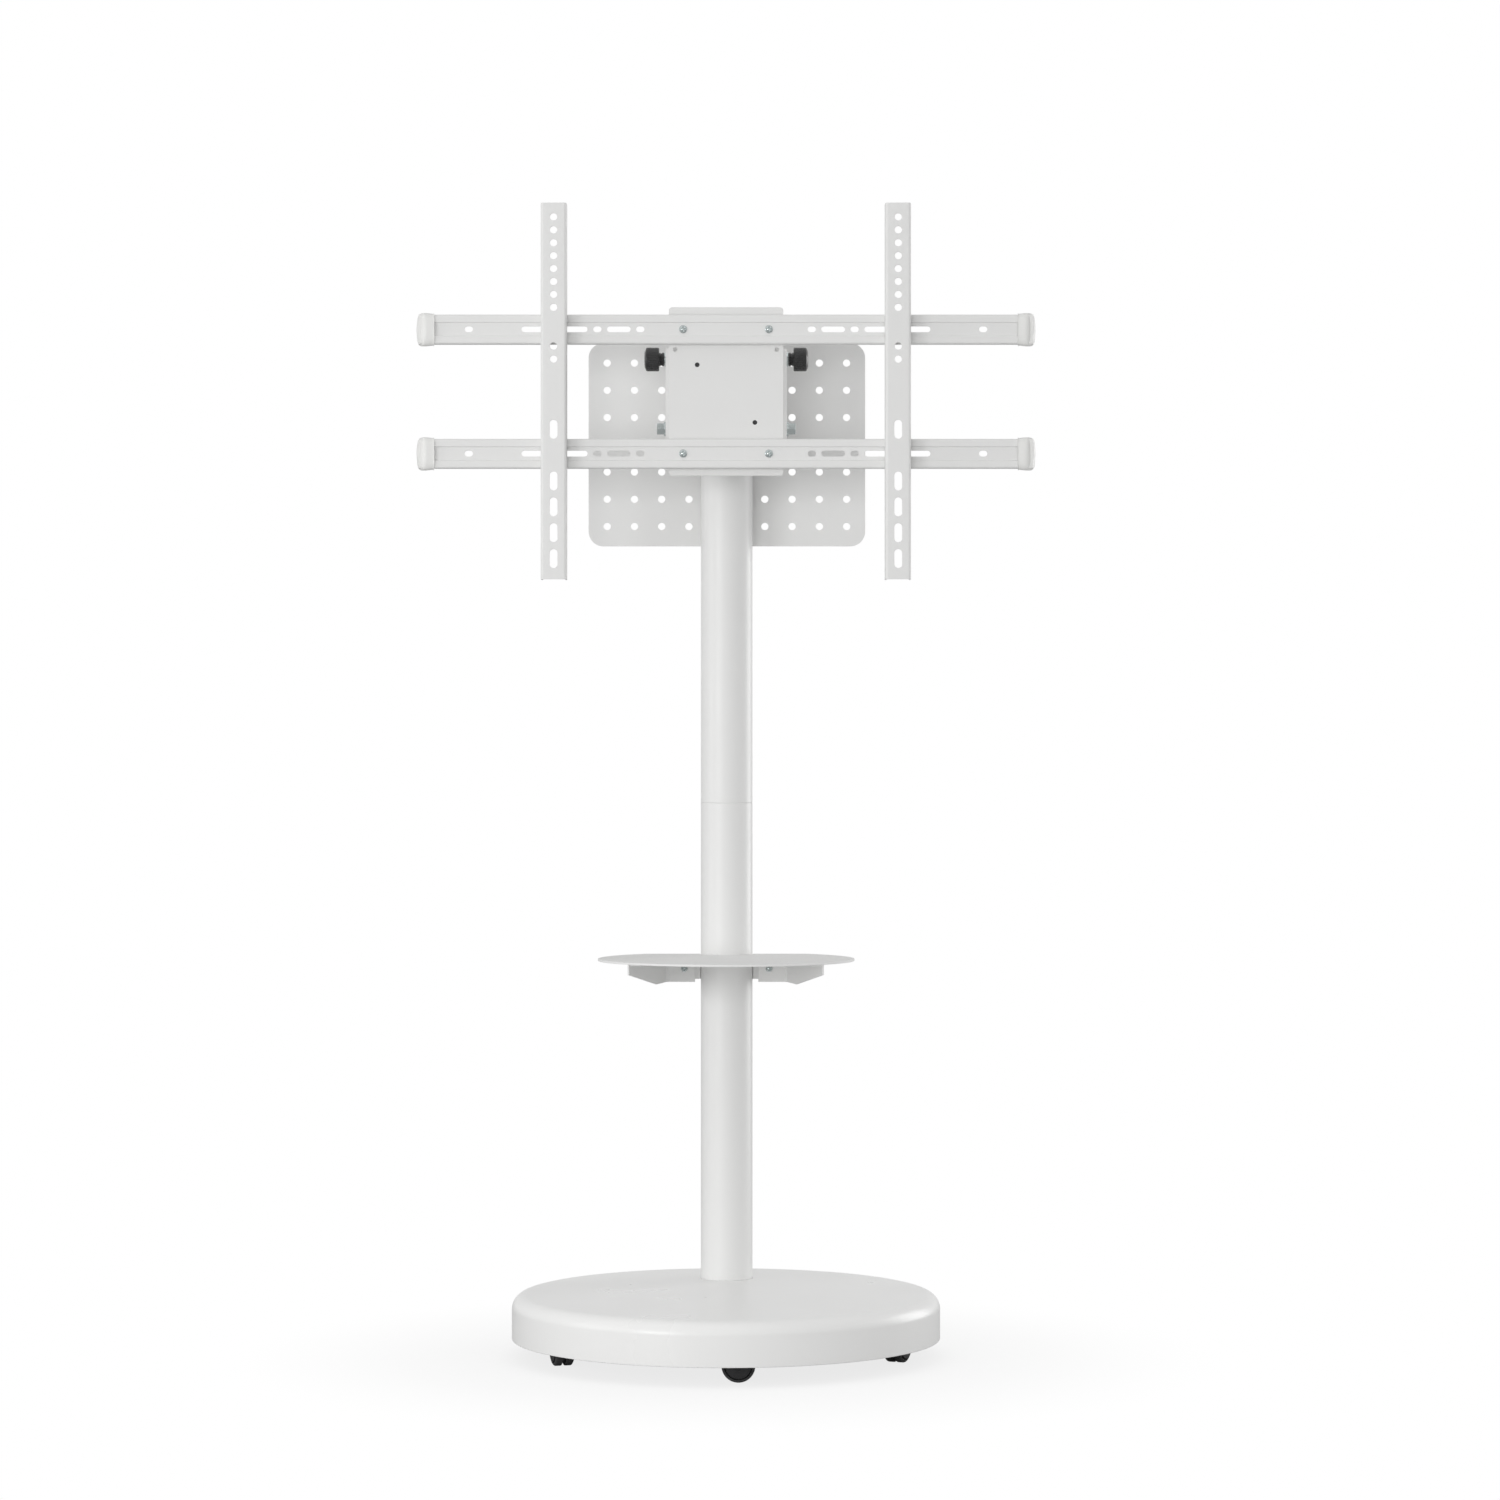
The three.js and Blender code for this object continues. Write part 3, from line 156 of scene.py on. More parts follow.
def base_enamel():
    """The pole's enamel on the pressed base, with more gloss, so that the pole shows in it. Its
    colour is painted lighter than the pole's, as painted light for the brighter light that falls on
    the base. Its orange peel has run out to waves of 9 mm."""
    return finish("enamel in two coats", "base_enamel_painted_lighter", 0.3, grain=(9, 0.006), clouds=(120, 0.01))


def white_powder_coat():
    """Fine powder coat on folded sheet: softer than enamel, with a grain of 0.8 mm, which stands
    for a real one of about 0.2 mm that would not show."""
    return finish("white powder coat", "frame_coat", 0.48, grain=(0.8, 0.03), clouds=(60, 0.02))


def grey_powder_coat():
    """The same fine powder coat in a very light grey, on the shelf and the equipment plate: dull,
    so that it mirrors less than the enamel."""
    name, dull = "light grey powder coat", {"Specular IOR Level": 0.35}
    return finish(name, "shelf_coat", 0.7, grain=(0.8, 0.03), clouds=(70, 0.025), **dull)


def moulded_white():
    """Moulded white polypropylene: evenly matt, with hardly any grain."""
    name = "moulded polypropylene"
    return finish(name, "cap_plastic", 0.42, grain=(1.1, 0.015), clouds=(25, 0.02), IOR=1.49)


def moulded_black():
    """Moulded black ABS with a spark-eroded skin: dark, with a broad soft gloss."""
    name = "moulded ABS"
    return finish(name, "knob_plastic", 0.28, grain=(0.6, 0.04), clouds=(8, 0.2), IOR=1.53)


def caster_tyre():
    """Polyurethane tyre: charcoal, dull, with the faint bloom that rolling leaves."""
    name = "polyurethane tyre"
    return finish(name, "tyre", 0.62, grain=(0.9, 0.05), clouds=(6, 0.3), spread=0.08)


def caster_nylon():
    """Glass-filled black nylon: near black, with a slightly rough moulded skin."""
    return finish("filled nylon", "nylon", 0.46, grain=(0.7, 0.04), clouds=(10, 0.25))


def zinc_plate():
    """Bright zinc plate on steel fasteners: cool grey metal, slightly cloudy from passivation."""
    look = {"grain": (0.5, 0.02), "clouds": (3, 0.18), "metallic": 1.0, "spread": 0.08}
    return finish("zinc plated steel", "zinc", 0.22, **look)


def oiled_steel():
    """Hot-rolled steel, blackened and oiled: dark grey metal with cloudy scale."""
    look = {"grain": (1.2, 0.06), "clouds": (18, 0.3), "metallic": 1.0, "spread": 0.1}
    return finish("blackened steel", "steel", 0.5, **look)


# Outlines, as arrays of points in a plane


def rounded(corners, closed=True, steps=5):
    """The path through corners, each x, y and a radius. The arc's centre lies on the corner's
    bisector, radius / sin(half the corner's angle) away from it."""
    path = []
    for i, (x, y, radius) in enumerate(corners):
        corner = np.array((x, y), float)
        if radius <= 0 or (not closed and i in (0, len(corners) - 1)):
            path.append(corner[None])
            continue
        back = np.array(corners[i - 1][:2]) - corner
        ahead = np.array(corners[(i + 1) % len(corners)][:2]) - corner
        back, ahead = back / np.hypot(*back), ahead / np.hypot(*ahead)
        half = acos(np.clip(back @ ahead, -1, 1)) / 2
        bisector = (back + ahead) / np.hypot(*(back + ahead))
        centre = corner + bisector * radius / sin(half)
        start = corner + back * radius / tan(half) - centre
        end = corner + ahead * radius / tan(half) - centre
        first, last = atan2(*start[::-1]), atan2(*end[::-1])
        sweep = (last - first + pi) % (2 * pi) - pi
        turn = first + sweep * np.linspace(0, 1, steps + 1)
        path.append(centre + radius * np.stack([np.cos(turn), np.sin(turn)], -1))
    return np.concatenate(path)


def rectangle(width, height, corner, x=0.0, y=0.0):
    """A rectangle about x, y with rounded corners."""
    w, h = width / 2, height / 2
    signs = ((-1, -1), (1, -1), (1, 1), (-1, 1))
    return rounded([(x + a * w, y + b * h, corner) for a, b in signs], steps=10)


def circle(x, y, radius, sides=32):
    """x + radius cos t, y + radius sin t."""
    turn = np.linspace(0, 2 * pi, sides, endpoint=False)
    return np.stack([x + radius * np.cos(turn), y + radius * np.sin(turn)], -1)


# Objects, and surfaces as a list of points and a list of faces


def link(name, data):
    """A new object in the scene that holds a mesh, a curve, a lamp or a camera."""
    made = bpy.data.objects.new(name, data)
    bpy.context.scene.collection.objects.link(made)
    return made


def surface_of(mesh):
    """The points and the faces of a mesh."""
    points = np.zeros(len(mesh.vertices) * 3)
    mesh.vertices.foreach_get("co", points)
    return points.reshape(-1, 3), [tuple(face.vertices) for face in mesh.polygons]


def grid(points, wrap_rows=False, wrap_columns=False):
    """Four-sided faces over an array of rows and columns of points. Wrapping joins the last row
    or column to the first."""
    rows, columns = points.shape[:2]
    index = np.arange(rows * columns).reshape(rows, columns)
    if wrap_rows:
        index = np.concatenate([index, index[:1]], 0)
    if wrap_columns:
        index = np.concatenate([index, index[:, :1]], 1)
    corners = [index[:-1, :-1], index[:-1, 1:], index[1:, 1:], index[1:, :-1]]
    return points.reshape(-1, 3), np.stack(corners, -1).reshape(-1, 4)


def along(points, axis, at=(0, 0, 0)):
    """Carries points made along z to an axis a, as x u + y v + z a + at: u is level and square to
    a, and v is a x u, so that a piece that faces the front keeps its x and has its y upright."""
    a = np.array(axis, float) / np.linalg.norm(axis)
    u = np.cross((0, 0, 1), a) if abs(a[2]) < 0.99 else np.array((1.0, 0, 0))
    return points @ np.stack([u, np.cross(a, u), a]) + np.array(at, float)


def turned(profile, axis=UP, at=(0, 0, 0), sides=96, closed=False, slide=None, ribs=None):
    """A surface of revolution: for a profile r(s), z(s) the points are r cos t, c + r sin t, z.
    slide gives c(s), which moves the circle's centre sideways, and ribs(s, t) is added to r."""
    radius, height = profile[:, :1], profile[:, 1:]
    turn = np.linspace(0, 2 * pi, sides, endpoint=False)[None]
    centre = 0 if slide is None else slide[:, None]
    if ribs is not None:
        radius = radius + ribs(profile, turn)
    x, y = radius * np.cos(turn), centre + radius * np.sin(turn)
    return grid(along(np.stack([x, y, height + 0 * turn], -1), axis, at), closed, True)


def flat_plate(outlines, thickness, edge, place):
    """A flat curve of outlines, the holes among them, filled and thickened both ways from its
    plane, its rims rounded outwards by edge. place carries its points to where they belong."""
    curve = bpy.data.curves.new("outline", "CURVE")
    curve.dimensions, curve.fill_mode = "2D", "BOTH"
    curve.extrude, curve.bevel_depth, curve.bevel_resolution = thickness / 2 - edge, edge, 2
    for outline in outlines:
        spline = curve.splines.new("POLY")
        spline.points.add(len(outline) - 1)
        height_and_weight = np.tile((0.0, 1.0), (len(outline), 1))
        spline.points.foreach_set("co", np.hstack([outline, height_and_weight]).ravel())
        spline.use_cyclic_u = True
    shown = link("outline", curve)
    bpy.context.view_layer.update()
    filled = shown.evaluated_get(bpy.context.evaluated_depsgraph_get())
    made = bpy.data.meshes.new_from_object(filled)
    points, faces = surface_of(made)
    bpy.data.objects.remove(shown)
    bpy.data.meshes.remove(made)
    return place(points), faces


def pierced(section, holes, start, end, half_width, place):
    """A bent strip of sheet with a row of holes along its middle, as one open skin.

    section lists the points (across, depth) of half the strip, from the flat middle outwards,
    and the other half is its mirror image. Between start and end along the strip, each hole is
    (place, half its straight length, radius). The flat middle is half_width to each side. Round
    each hole a ring of points on its cell's border, p, is joined to the ring on the hole's rim,
    c + radius (p - c) / |p - c|, where c is the point of the hole's spine nearest to p. place
    carries arrays of across, depth and length to where the strip belongs.
    """
    across = half_width * np.linspace(-1, 1, 13)
    strips = len(across) - 1
    depth = section[0, 1]
    parts, rows = [], [[start, end]]

    def flat(points):
        return place(points[..., 0], np.full(points.shape[:-1], depth), points[..., 1])

    done = start
    for middle_at, straight, radius in holes:
        low, high = middle_at - straight - 1.6 * radius, middle_at + straight + 1.6 * radius
        plain = np.stack(np.meshgrid(across, [done, low]), -1)
        parts.append(grid(flat(plain)))
        done = high
        beyond = straight + radius * np.array((0.0, 0.3, 0.65, 1.05))
        side = np.concatenate([[low], middle_at - beyond[::-1], middle_at + beyond, [high]])
        side = np.unique(np.round(side, 8))
        rows.append(side)
        border = np.concatenate(
            [
                np.stack([across[:-1], np.full(strips, side[0])], -1),
                np.stack([np.full(len(side) - 1, half_width), side[:-1]], -1),
                np.stack([across[:0:-1], np.full(strips, side[-1])], -1),
                np.stack([np.full(len(side) - 1, -half_width), side[:0:-1]], -1),
            ]
        )
        nearest = np.clip(border[:, 1], middle_at - straight, middle_at + straight)
        spine = np.stack([0 * nearest, nearest], -1)
        away = border - spine
        rim = spine + radius * away / np.hypot(*away.T)[:, None]
        parts.append(grid(flat(np.stack([border, rim])), wrap_columns=True))
    plain = np.stack(np.meshgrid(across, [done, end]), -1)
    parts.append(grid(flat(plain)))
    lengths = np.unique(np.round(np.concatenate(rows), 8))
    for side in (1, -1):
        shape = (len(section), len(lengths))
        columns = [side * section[:, :1], section[:, 1:], lengths[None]]
        half = place(*(np.broadcast_to(column, shape) for column in columns))
        parts.append(grid(half[:, ::-1] if side > 0 else half))
    return parts


def cross_head(radius, height, recess, slot):
    """A domed screw head with a cross recess, over a square of u, v from -1 to 1.

    Inside, a point stays at radius (u, v), so that the recess keeps straight sides. Outwards it
    moves smoothly to the circle through max(|u|, |v|). Its height falls by the 2.4th power of its
    distance from the axis, and the recess cuts in by its depth, narrowing to its floor.
    """
    half = slot / 2 / radius
    end = recess / radius
    marks = np.array((0, half * 0.6, half, half * 1.5, end * 0.94, end, 0.72, 0.82, 0.9, 0.96, 1))
    line = np.unique(np.concatenate([-marks, marks]))
    u, v = np.meshgrid(line, line, indexing="ij")
    square = np.maximum(abs(u), abs(v))
    round_off = np.clip((square - 0.6) / 0.4, 0, 1)
    round_off = round_off**2 * (3 - 2 * round_off)
    length = np.maximum(np.hypot(u, v), 1e-9)
    scale = (1 - round_off) + round_off * square / length
    x, y = radius * u * scale, radius * v * scale
    dome = height * (1 - 0.72 * (np.hypot(x, y) / radius) ** 2.4)
    small, large = np.minimum(abs(u), abs(v)), np.maximum(abs(u), abs(v))
    deep = np.clip((half * 1.05 - small) / (half * 0.4), 0, 1)
    deep *= np.clip((end * 1.03 - large) / (end * 0.07), 0, 1)
    return np.stack([x, y, dome - 0.85 * height * deep], -1)


# Pieces

# Points closer than MERGE are one, and an edge shorter than SLIVER goes. Faces that meet at less
# than FLAT are one face.
MERGE, SLIVER, FLAT = 0.004 * MM, 0.002 * MM, radians(0.5)


def piece(name, parts, material, body, node, smooth=38, sheet=0.0, edge=0.0, limit=50):
    """One object from its surfaces: points that meet are merged, faces point outwards and edges
    stay sharp past an angle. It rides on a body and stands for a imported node.

    An open skin is given the thickness of its sheet, inwards. An edge that turns by more than a
    limit in degrees is rounded by edge. Shading leans to the larger faces, to keep flats flat.
    """
    counts = np.cumsum([0] + [len(points) for points, _ in parts])
    faces = []
    for (_, corners), first in zip(parts, counts):
        faces += [tuple(int(i) + int(first) for i in face) for face in corners]
    mesh = bpy.data.meshes.new(name)
    mesh.from_pydata(np.concatenate([points for points, _ in parts]), [], faces)
    work = bmesh.new()
    work.from_mesh(mesh)
    bmesh.ops.remove_doubles(work, verts=work.verts, dist=MERGE)
    bmesh.ops.dissolve_degenerate(work, edges=work.edges, dist=SLIVER)
    if not sheet:
        bmesh.ops.recalc_face_normals(work, faces=work.faces)
        if edge:
            flat = [e for e in work.edges if e.is_manifold and e.calc_face_angle(1) < FLAT]
            bmesh.ops.dissolve_edges(work, edges=flat, use_verts=False)
    work.to_mesh(mesh)
    work.free()
    mesh.shade_smooth()
    mesh.set_sharp_from_angle(angle=radians(limit if edge else smooth))
    mesh.materials.append(material)
    made = link(name, mesh)
    if sheet:
        wall = made.modifiers.new("sheet", "SOLIDIFY")
        wall.thickness, wall.offset, wall.use_even_offset = sheet, -1, True
    if edge:
        bevel = made.modifiers.new("edges", "BEVEL")
        bevel.width, bevel.segments, bevel.limit_method = edge, 2, "ANGLE"
        bevel.angle_limit = radians(limit)
    made.modifiers.new("even shading", "WEIGHTED_NORMAL").keep_sharp = True
    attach(made, body)
    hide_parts(node)


def softened(node, material, body, edge=0.5 * MM, limit=32):
    """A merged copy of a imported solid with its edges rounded."""
    parts = [surface_of(frame["nodes"][node].data)]
    piece(f"{node}_finished", parts, material, body, node, edge=edge, limit=limit)


def keep(node, material):
    """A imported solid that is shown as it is, with its finish."""
    for place in frame["nodes"][node].material_slots:
        place.material = material


def screw(node, body, seat, size, axis=FRONT, cross=3.2 * MM):
    """A pan head screw: the domed head with its cross recess, its upright side, its underside
    and its shank, each a copy of the head's border scaled about the axis. seat is the depth of
    the face below its head, size its head's radius and height and its shank's radius, and cross
    the reach of its recess."""
    at = middle(node)
    at[1] = seat
    radius, height, shank = size
    length = abs(reach(node, 1, -axis[1]) - seat)
    head = cross_head(radius, height, cross, 1.5 * MM)
    border = np.concatenate([head[:-1, 0], head[-1, :-1], head[:0:-1, -1], head[0, :0:-1]])
    thin = shank / radius
    rows = ((1, height * 0.28), (1, 0), (thin, 0), (thin, -length), (0, -length))
    scales = np.array([[(scale, scale, z)] for scale, z in rows])
    rings = np.column_stack([border[:, :2], np.ones(len(border))]) * scales
    parts = [grid(along(head, axis, at)), grid(along(rings, axis, at), wrap_columns=True)]
    piece(f"{node}_headed", parts, zinc_plate(), body, node)


# Sizes and colours that a user would change


def length_property(name, description, usual, low, high):
    """A length that a user may change, in millimetres here and in metres in the scene."""
    return bpy.props.FloatProperty(
        name=name, description=description, default=usual * MM, min=low * MM, max=high * MM,
        unit="LENGTH", precision=5,
    )


class TVSTAND_PG_sizes(bpy.types.PropertyGroup):
    """Sizes of the surfaces."""

    base_roll: length_property("Base roll", "Radius of the base's rolled upper edge", 17, 4, 40)
    base_wall: length_property("Base wall", "Thickness of the base's sheet", 2, 1, 4)
    edge: length_property("Sheet edge", "Rounding of cut edges under their coat", 0.35, 0.1, 0.8)
    joint_groove: length_property(
        "Pole joint", "Chamfer on each tube where the two meet", 0.6, 0.1, 1.5
    )
    knob_ribs: bpy.props.IntProperty(
        name="Knob ribs", description="Number of grip ribs round a knob", default=28, min=8, max=60
    )
    plate_hole: length_property("Plate hole", "Radius of the equipment plate's holes", 4.4, 2, 8)
    plate_pitch: length_property(
        "Plate pitch", "Distance between the equipment plate's holes", 33, 15, 60
    )
    plate_corner: length_property(
        "Plate corner", "Radius of the equipment plate's corners", 18, 2, 40
    )
    arm_hole: length_property("Arm hole", "Radius of the arms' round holes", 4.2, 2, 8)
    rail_slot: length_property("Rail slot", "Width of the rails' slots", 6.8, 3, 10)


def colour_property(name, description, colour):
    """A colour that a user may pick, whose default is an sRGB hex value."""
    return bpy.props.FloatVectorProperty(
        name=name, description=description, default=linear(colour), size=4, subtype="COLOR",
        min=0, max=1,
    )


class TVSTAND_PG_colours(bpy.types.PropertyGroup):
    """Colours of the finishes."""

    enamel: colour_property("Enamel", "White enamel of the pole", "#EBEBEA")
    # The base's enamel is painted lighter than the pole's, as painted light for the brighter light
    # on the base
    base_enamel_painted_lighter: colour_property("Base", "White enamel of the base", "#F3F3F2")
    frame_coat: colour_property("Frame coat", "White powder coat of the mount frame", "#E8E8E7")
    shelf_coat: colour_property("Shelf coat", "Light powder coat of shelf and plate", "#EEEEED")
    cap_plastic: colour_property("Caps", "White plastic of the end caps", "#EBEBE9")
    knob_plastic: colour_property("Knobs", "Black plastic of the tilt knobs", "#2B2B2C")
    tyre: colour_property("Tyres", "Polyurethane of the casters' treads", "#4C4C4D")
    nylon: colour_property("Casters", "Nylon of the casters' hoods and discs", "#333334")
    zinc: colour_property("Fasteners", "Zinc plate of screws, bolts and nuts", "#D3DBDB")
    steel: colour_property("Inner steel", "Blackened steel of base plate and joiner", "#55585B")


# Operators


class TVSTAND_OT_base(bpy.types.Operator):
    """Make the base: a round shell of rolled sheet with a collar for the pole, and the heavy
    plate inside it."""

    bl_idname = "tv_stand.base"
    bl_label = "Base"

    def execute(self, context):
        sizes = context.scene.tv_stand_sizes
        low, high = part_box("base_shell")
        radius, roll, wall = high.x, sizes.base_roll, sizes.base_wall
        hole = POLE_RADIUS + 0.3 * MM
        collar, lip = reach("pole_lower", 2, -1), wall * 0.45
        marks = (60 * MM, 90 * MM, 130 * MM, 170 * MM, 205 * MM)
        profile = rounded(
            [
                (hole, collar, 0),
                (hole, high.z, 0.5 * MM),
                *((mark, high.z, 0) for mark in marks),
                (radius, high.z, roll),
                (radius, low.z, lip),
                (radius - wall, low.z, lip),
                (radius - wall, high.z - wall, roll - wall),
                *((mark, high.z - wall, 0) for mark in marks[::-1]),
                (hole + wall, high.z - wall, 0),
                (hole + wall, collar, 0),
            ],
            steps=10,
        )
        flat_end = radius - roll
        share = (flat_end - profile[:, 0]) / (flat_end - hole - wall)
        slide = POLE_Y * np.clip(share, 0, 1)
        shell = [turned(profile, sides=192, closed=True, slide=slide)]
        piece("base_shell_rolled", shell, base_enamel(), "stand", "base_shell")
        low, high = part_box("base_plate")
        edge, stem, lift = 0.6 * MM, 5.4 * MM, (low.z + high.z) / 2
        stems = [JOINTS[f"caster_{name}_swivel"]["pos_m"] for name in CASTERS]
        holes = [circle(x, y, stem + edge, 20) for x, y, _ in stems]
        outline = circle(0, 0, high.x - edge, 160)
        plate = flat_plate([outline, *holes], high.z - low.z, edge, lambda p: p + (0, 0, lift))
        piece("base_plate_cut", [plate], oiled_steel(), "stand", "base_plate")
        return {"FINISHED"}


class TVSTAND_OT_casters(bpy.types.Operator):
    """Make the twin-wheel casters: a moulded hood with its stem, two tyres and their discs."""

    bl_idname = "tv_stand.casters"
    bl_label = "Casters"

    def execute(self, context):
        # In millimetres, as a wheel's radius and its distance from the middle of the axle
        radius, inner, outer, bolt = 19, 2.05, 12.4, 2.5
        tyre = rounded(
            [
                (15.8, inner, 0),
                (radius, inner, 0.8),
                (radius, 9.6, 2.2),
                (16.1, 11.5, 0.4),
                (15.8, 6.2, 0),
            ]
        )
        disc = rounded(
            [
                (0, inner, 0),
                (15.7, inner, 0),
                (15.7, 6, 0),
                (14.8, 6, 0.2),
                (14.5, 12, 0.4),
                (5, 13, 2),
                (4.4, outer, 0.3),
                (0, outer, 0),
            ],
            closed=False,
        )
        axle = np.array([(0, -2.2), (bolt, -2.2), (bolt, 2.2), (0, 2.2)])
        for name in CASTERS:
            fork, wheels, body = f"caster_{name}_fork", f"caster_{name}_wheels", f"wheels_{name}"
            softened(fork, caster_nylon(), f"caster_{name}", 0.7 * MM)
            axis, at = (JOINTS[f"caster_{name}_roll"][key] for key in ("axis", "pos_m"))
            sides = (MM, MM), (MM, -MM)
            tyres = [turned(tyre * side, axis, at, 72, closed=True) for side in sides]
            discs = [turned(disc * side, axis, at, 72) for side in sides]
            discs.append(turned(axle * MM, axis, at, 20))
            piece(f"caster_{name}_tyres", tyres, caster_tyre(), body, wheels)
            piece(f"caster_{name}_discs", discs, caster_nylon(), body, wheels)
        return {"FINISHED"}


class TVSTAND_OT_pole(bpy.types.Operator):
    """Make the two tubes of the pole with the fine groove where they meet, the cap, and what
    fixes the pole to the base."""

    bl_idname = "tv_stand.pole"
    bl_label = "Pole"

    def execute(self, context):
        groove, cut, wall = context.scene.tv_stand_sizes.joint_groove, 0.2 * MM, 2 * MM
        bore, at = POLE_RADIUS - wall, (0, POLE_Y, 0)
        for name, ends in (("lower", (cut, groove)), ("upper", (groove, cut))):
            node = f"pole_{name}"
            low, high = reach(node, 2, -1), reach(node, 2, 1)
            profile = rounded(
                [
                    (bore, low, 0),
                    (POLE_RADIUS, low, ends[0]),
                    (POLE_RADIUS, high, ends[1]),
                    (bore, high, 0),
                ]
            )
            tube = [turned(profile, at=at, sides=128, closed=True)]
            piece(f"{node}_tube", tube, stoved_enamel(), "stand", node)
        low, high = reach("pole_cap", 2, -1), reach("pole_cap", 2, 1)
        seat, plug = reach("pole_upper", 2, 1), bore - 0.3 * MM
        profile = rounded(
            [
                (0, low, 0),
                (plug, low, 1 * MM),
                (plug, seat, 0),
                (POLE_RADIUS, seat, 0.3 * MM),
                (POLE_RADIUS, high - 0.4 * MM, 2.6 * MM),
                (POLE_RADIUS / 2, high, 30 * MM),
                (0, high, 0),
            ],
            closed=False,
        )
        cap = [turned(profile, at=at, sides=128)]
        piece("pole_cap_moulded", cap, moulded_white(), "stand", "pole_cap")
        keep("pole_joiner", oiled_steel())
        keep("pole_foot", oiled_steel())
        softened("foot_bolt", zinc_plate(), "stand")
        return {"FINISHED"}


class TVSTAND_OT_shelf(bpy.types.Operator):
    """Make the shelf: a pressed disc with its notch for the pole, two gussets, the clamp behind
    the pole and its screws."""

    bl_idname = "tv_stand.shelf"
    bl_label = "Shelf"

    def execute(self, context):
        edge = context.scene.tv_stand_sizes.edge * 1.5
        low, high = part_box("shelf_plate")
        radius, lift = (high.x - low.x) / 2, (low.z + high.z) / 2
        centre, notch = low.y + radius, POLE_RADIUS + 0.5 * MM + edge
        disc, chord_y = radius - edge, high.y - edge
        chord = np.arcsin((chord_y - centre) / disc)
        turn = np.linspace(chord, -pi - chord, 160)
        clasp = np.linspace(pi, 2 * pi, 48)
        outline = np.concatenate(
            [
                np.stack([disc * np.cos(turn), centre + disc * np.sin(turn)], -1),
                [(-notch, chord_y)],
                np.stack([notch * np.cos(clasp), POLE_Y + notch * np.sin(clasp)], -1),
                [(notch, chord_y)],
            ]
        )
        plate = flat_plate([outline], high.z - low.z, edge, lambda p: p + (0, 0, lift))
        coat = grey_powder_coat()
        piece("shelf_disc", [plate], coat, "shelf", "shelf_plate")
        for node in ("shelf_wing_left", "shelf_wing_right", "shelf_clamp"):
            softened(node, coat, "shelf", 0.35 * MM)
        size, cross = (4 * MM, 2.6 * MM, 2.5 * MM), 2.8 * MM
        for name in SIDES:
            node = f"shelf_screw_{name}"
            screw(node, "shelf", reach(node, 1, -1) + 3 * MM, size, cross=cross)
        return {"FINISHED"}


class TVSTAND_OT_equipment(bpy.types.Operator):
    """Make the perforated equipment plate behind the pole, its saddle and its screws."""

    bl_idname = "tv_stand.equipment"
    bl_label = "Equipment plate"

    def execute(self, context):
        sizes = context.scene.tv_stand_sizes
        edge, pitch = sizes.edge, sizes.plate_pitch
        low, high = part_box("equipment_plate")
        width, height = high.x - low.x, high.z - low.z
        first, margin = 46 * MM, 20 * MM
        columns = int((width / 2 - margin - first) / pitch) + 1
        rows = int((height / 2 - margin) / pitch)
        holes = [
            circle(side * (first + column * pitch), row * pitch, sizes.plate_hole + edge, 28)
            for column in range(columns)
            for row in range(-rows, rows + 1)
            for side in (-1, 1)
        ]
        outline = rectangle(width - 2 * edge, height - 2 * edge, sizes.plate_corner - edge)
        place = (0, (low.y + high.y) / 2, (low.z + high.z) / 2)
        sheet, coat = high.y - low.y, grey_powder_coat()
        plate = flat_plate([outline, *holes], sheet, edge, lambda p: along(p, FRONT, place))
        piece("equipment_plate_punched", [plate], coat, "stand", "equipment_plate")
        softened("equipment_saddle", moulded_black(), "stand", 0.8 * MM)
        size, cross = (6 * MM, 3.5 * MM, 3 * MM), 3.4 * MM
        for level in LEVELS:
            screw(f"equipment_screw_{level}", "stand", high.y, size, REAR, cross)
        return {"FINISHED"}


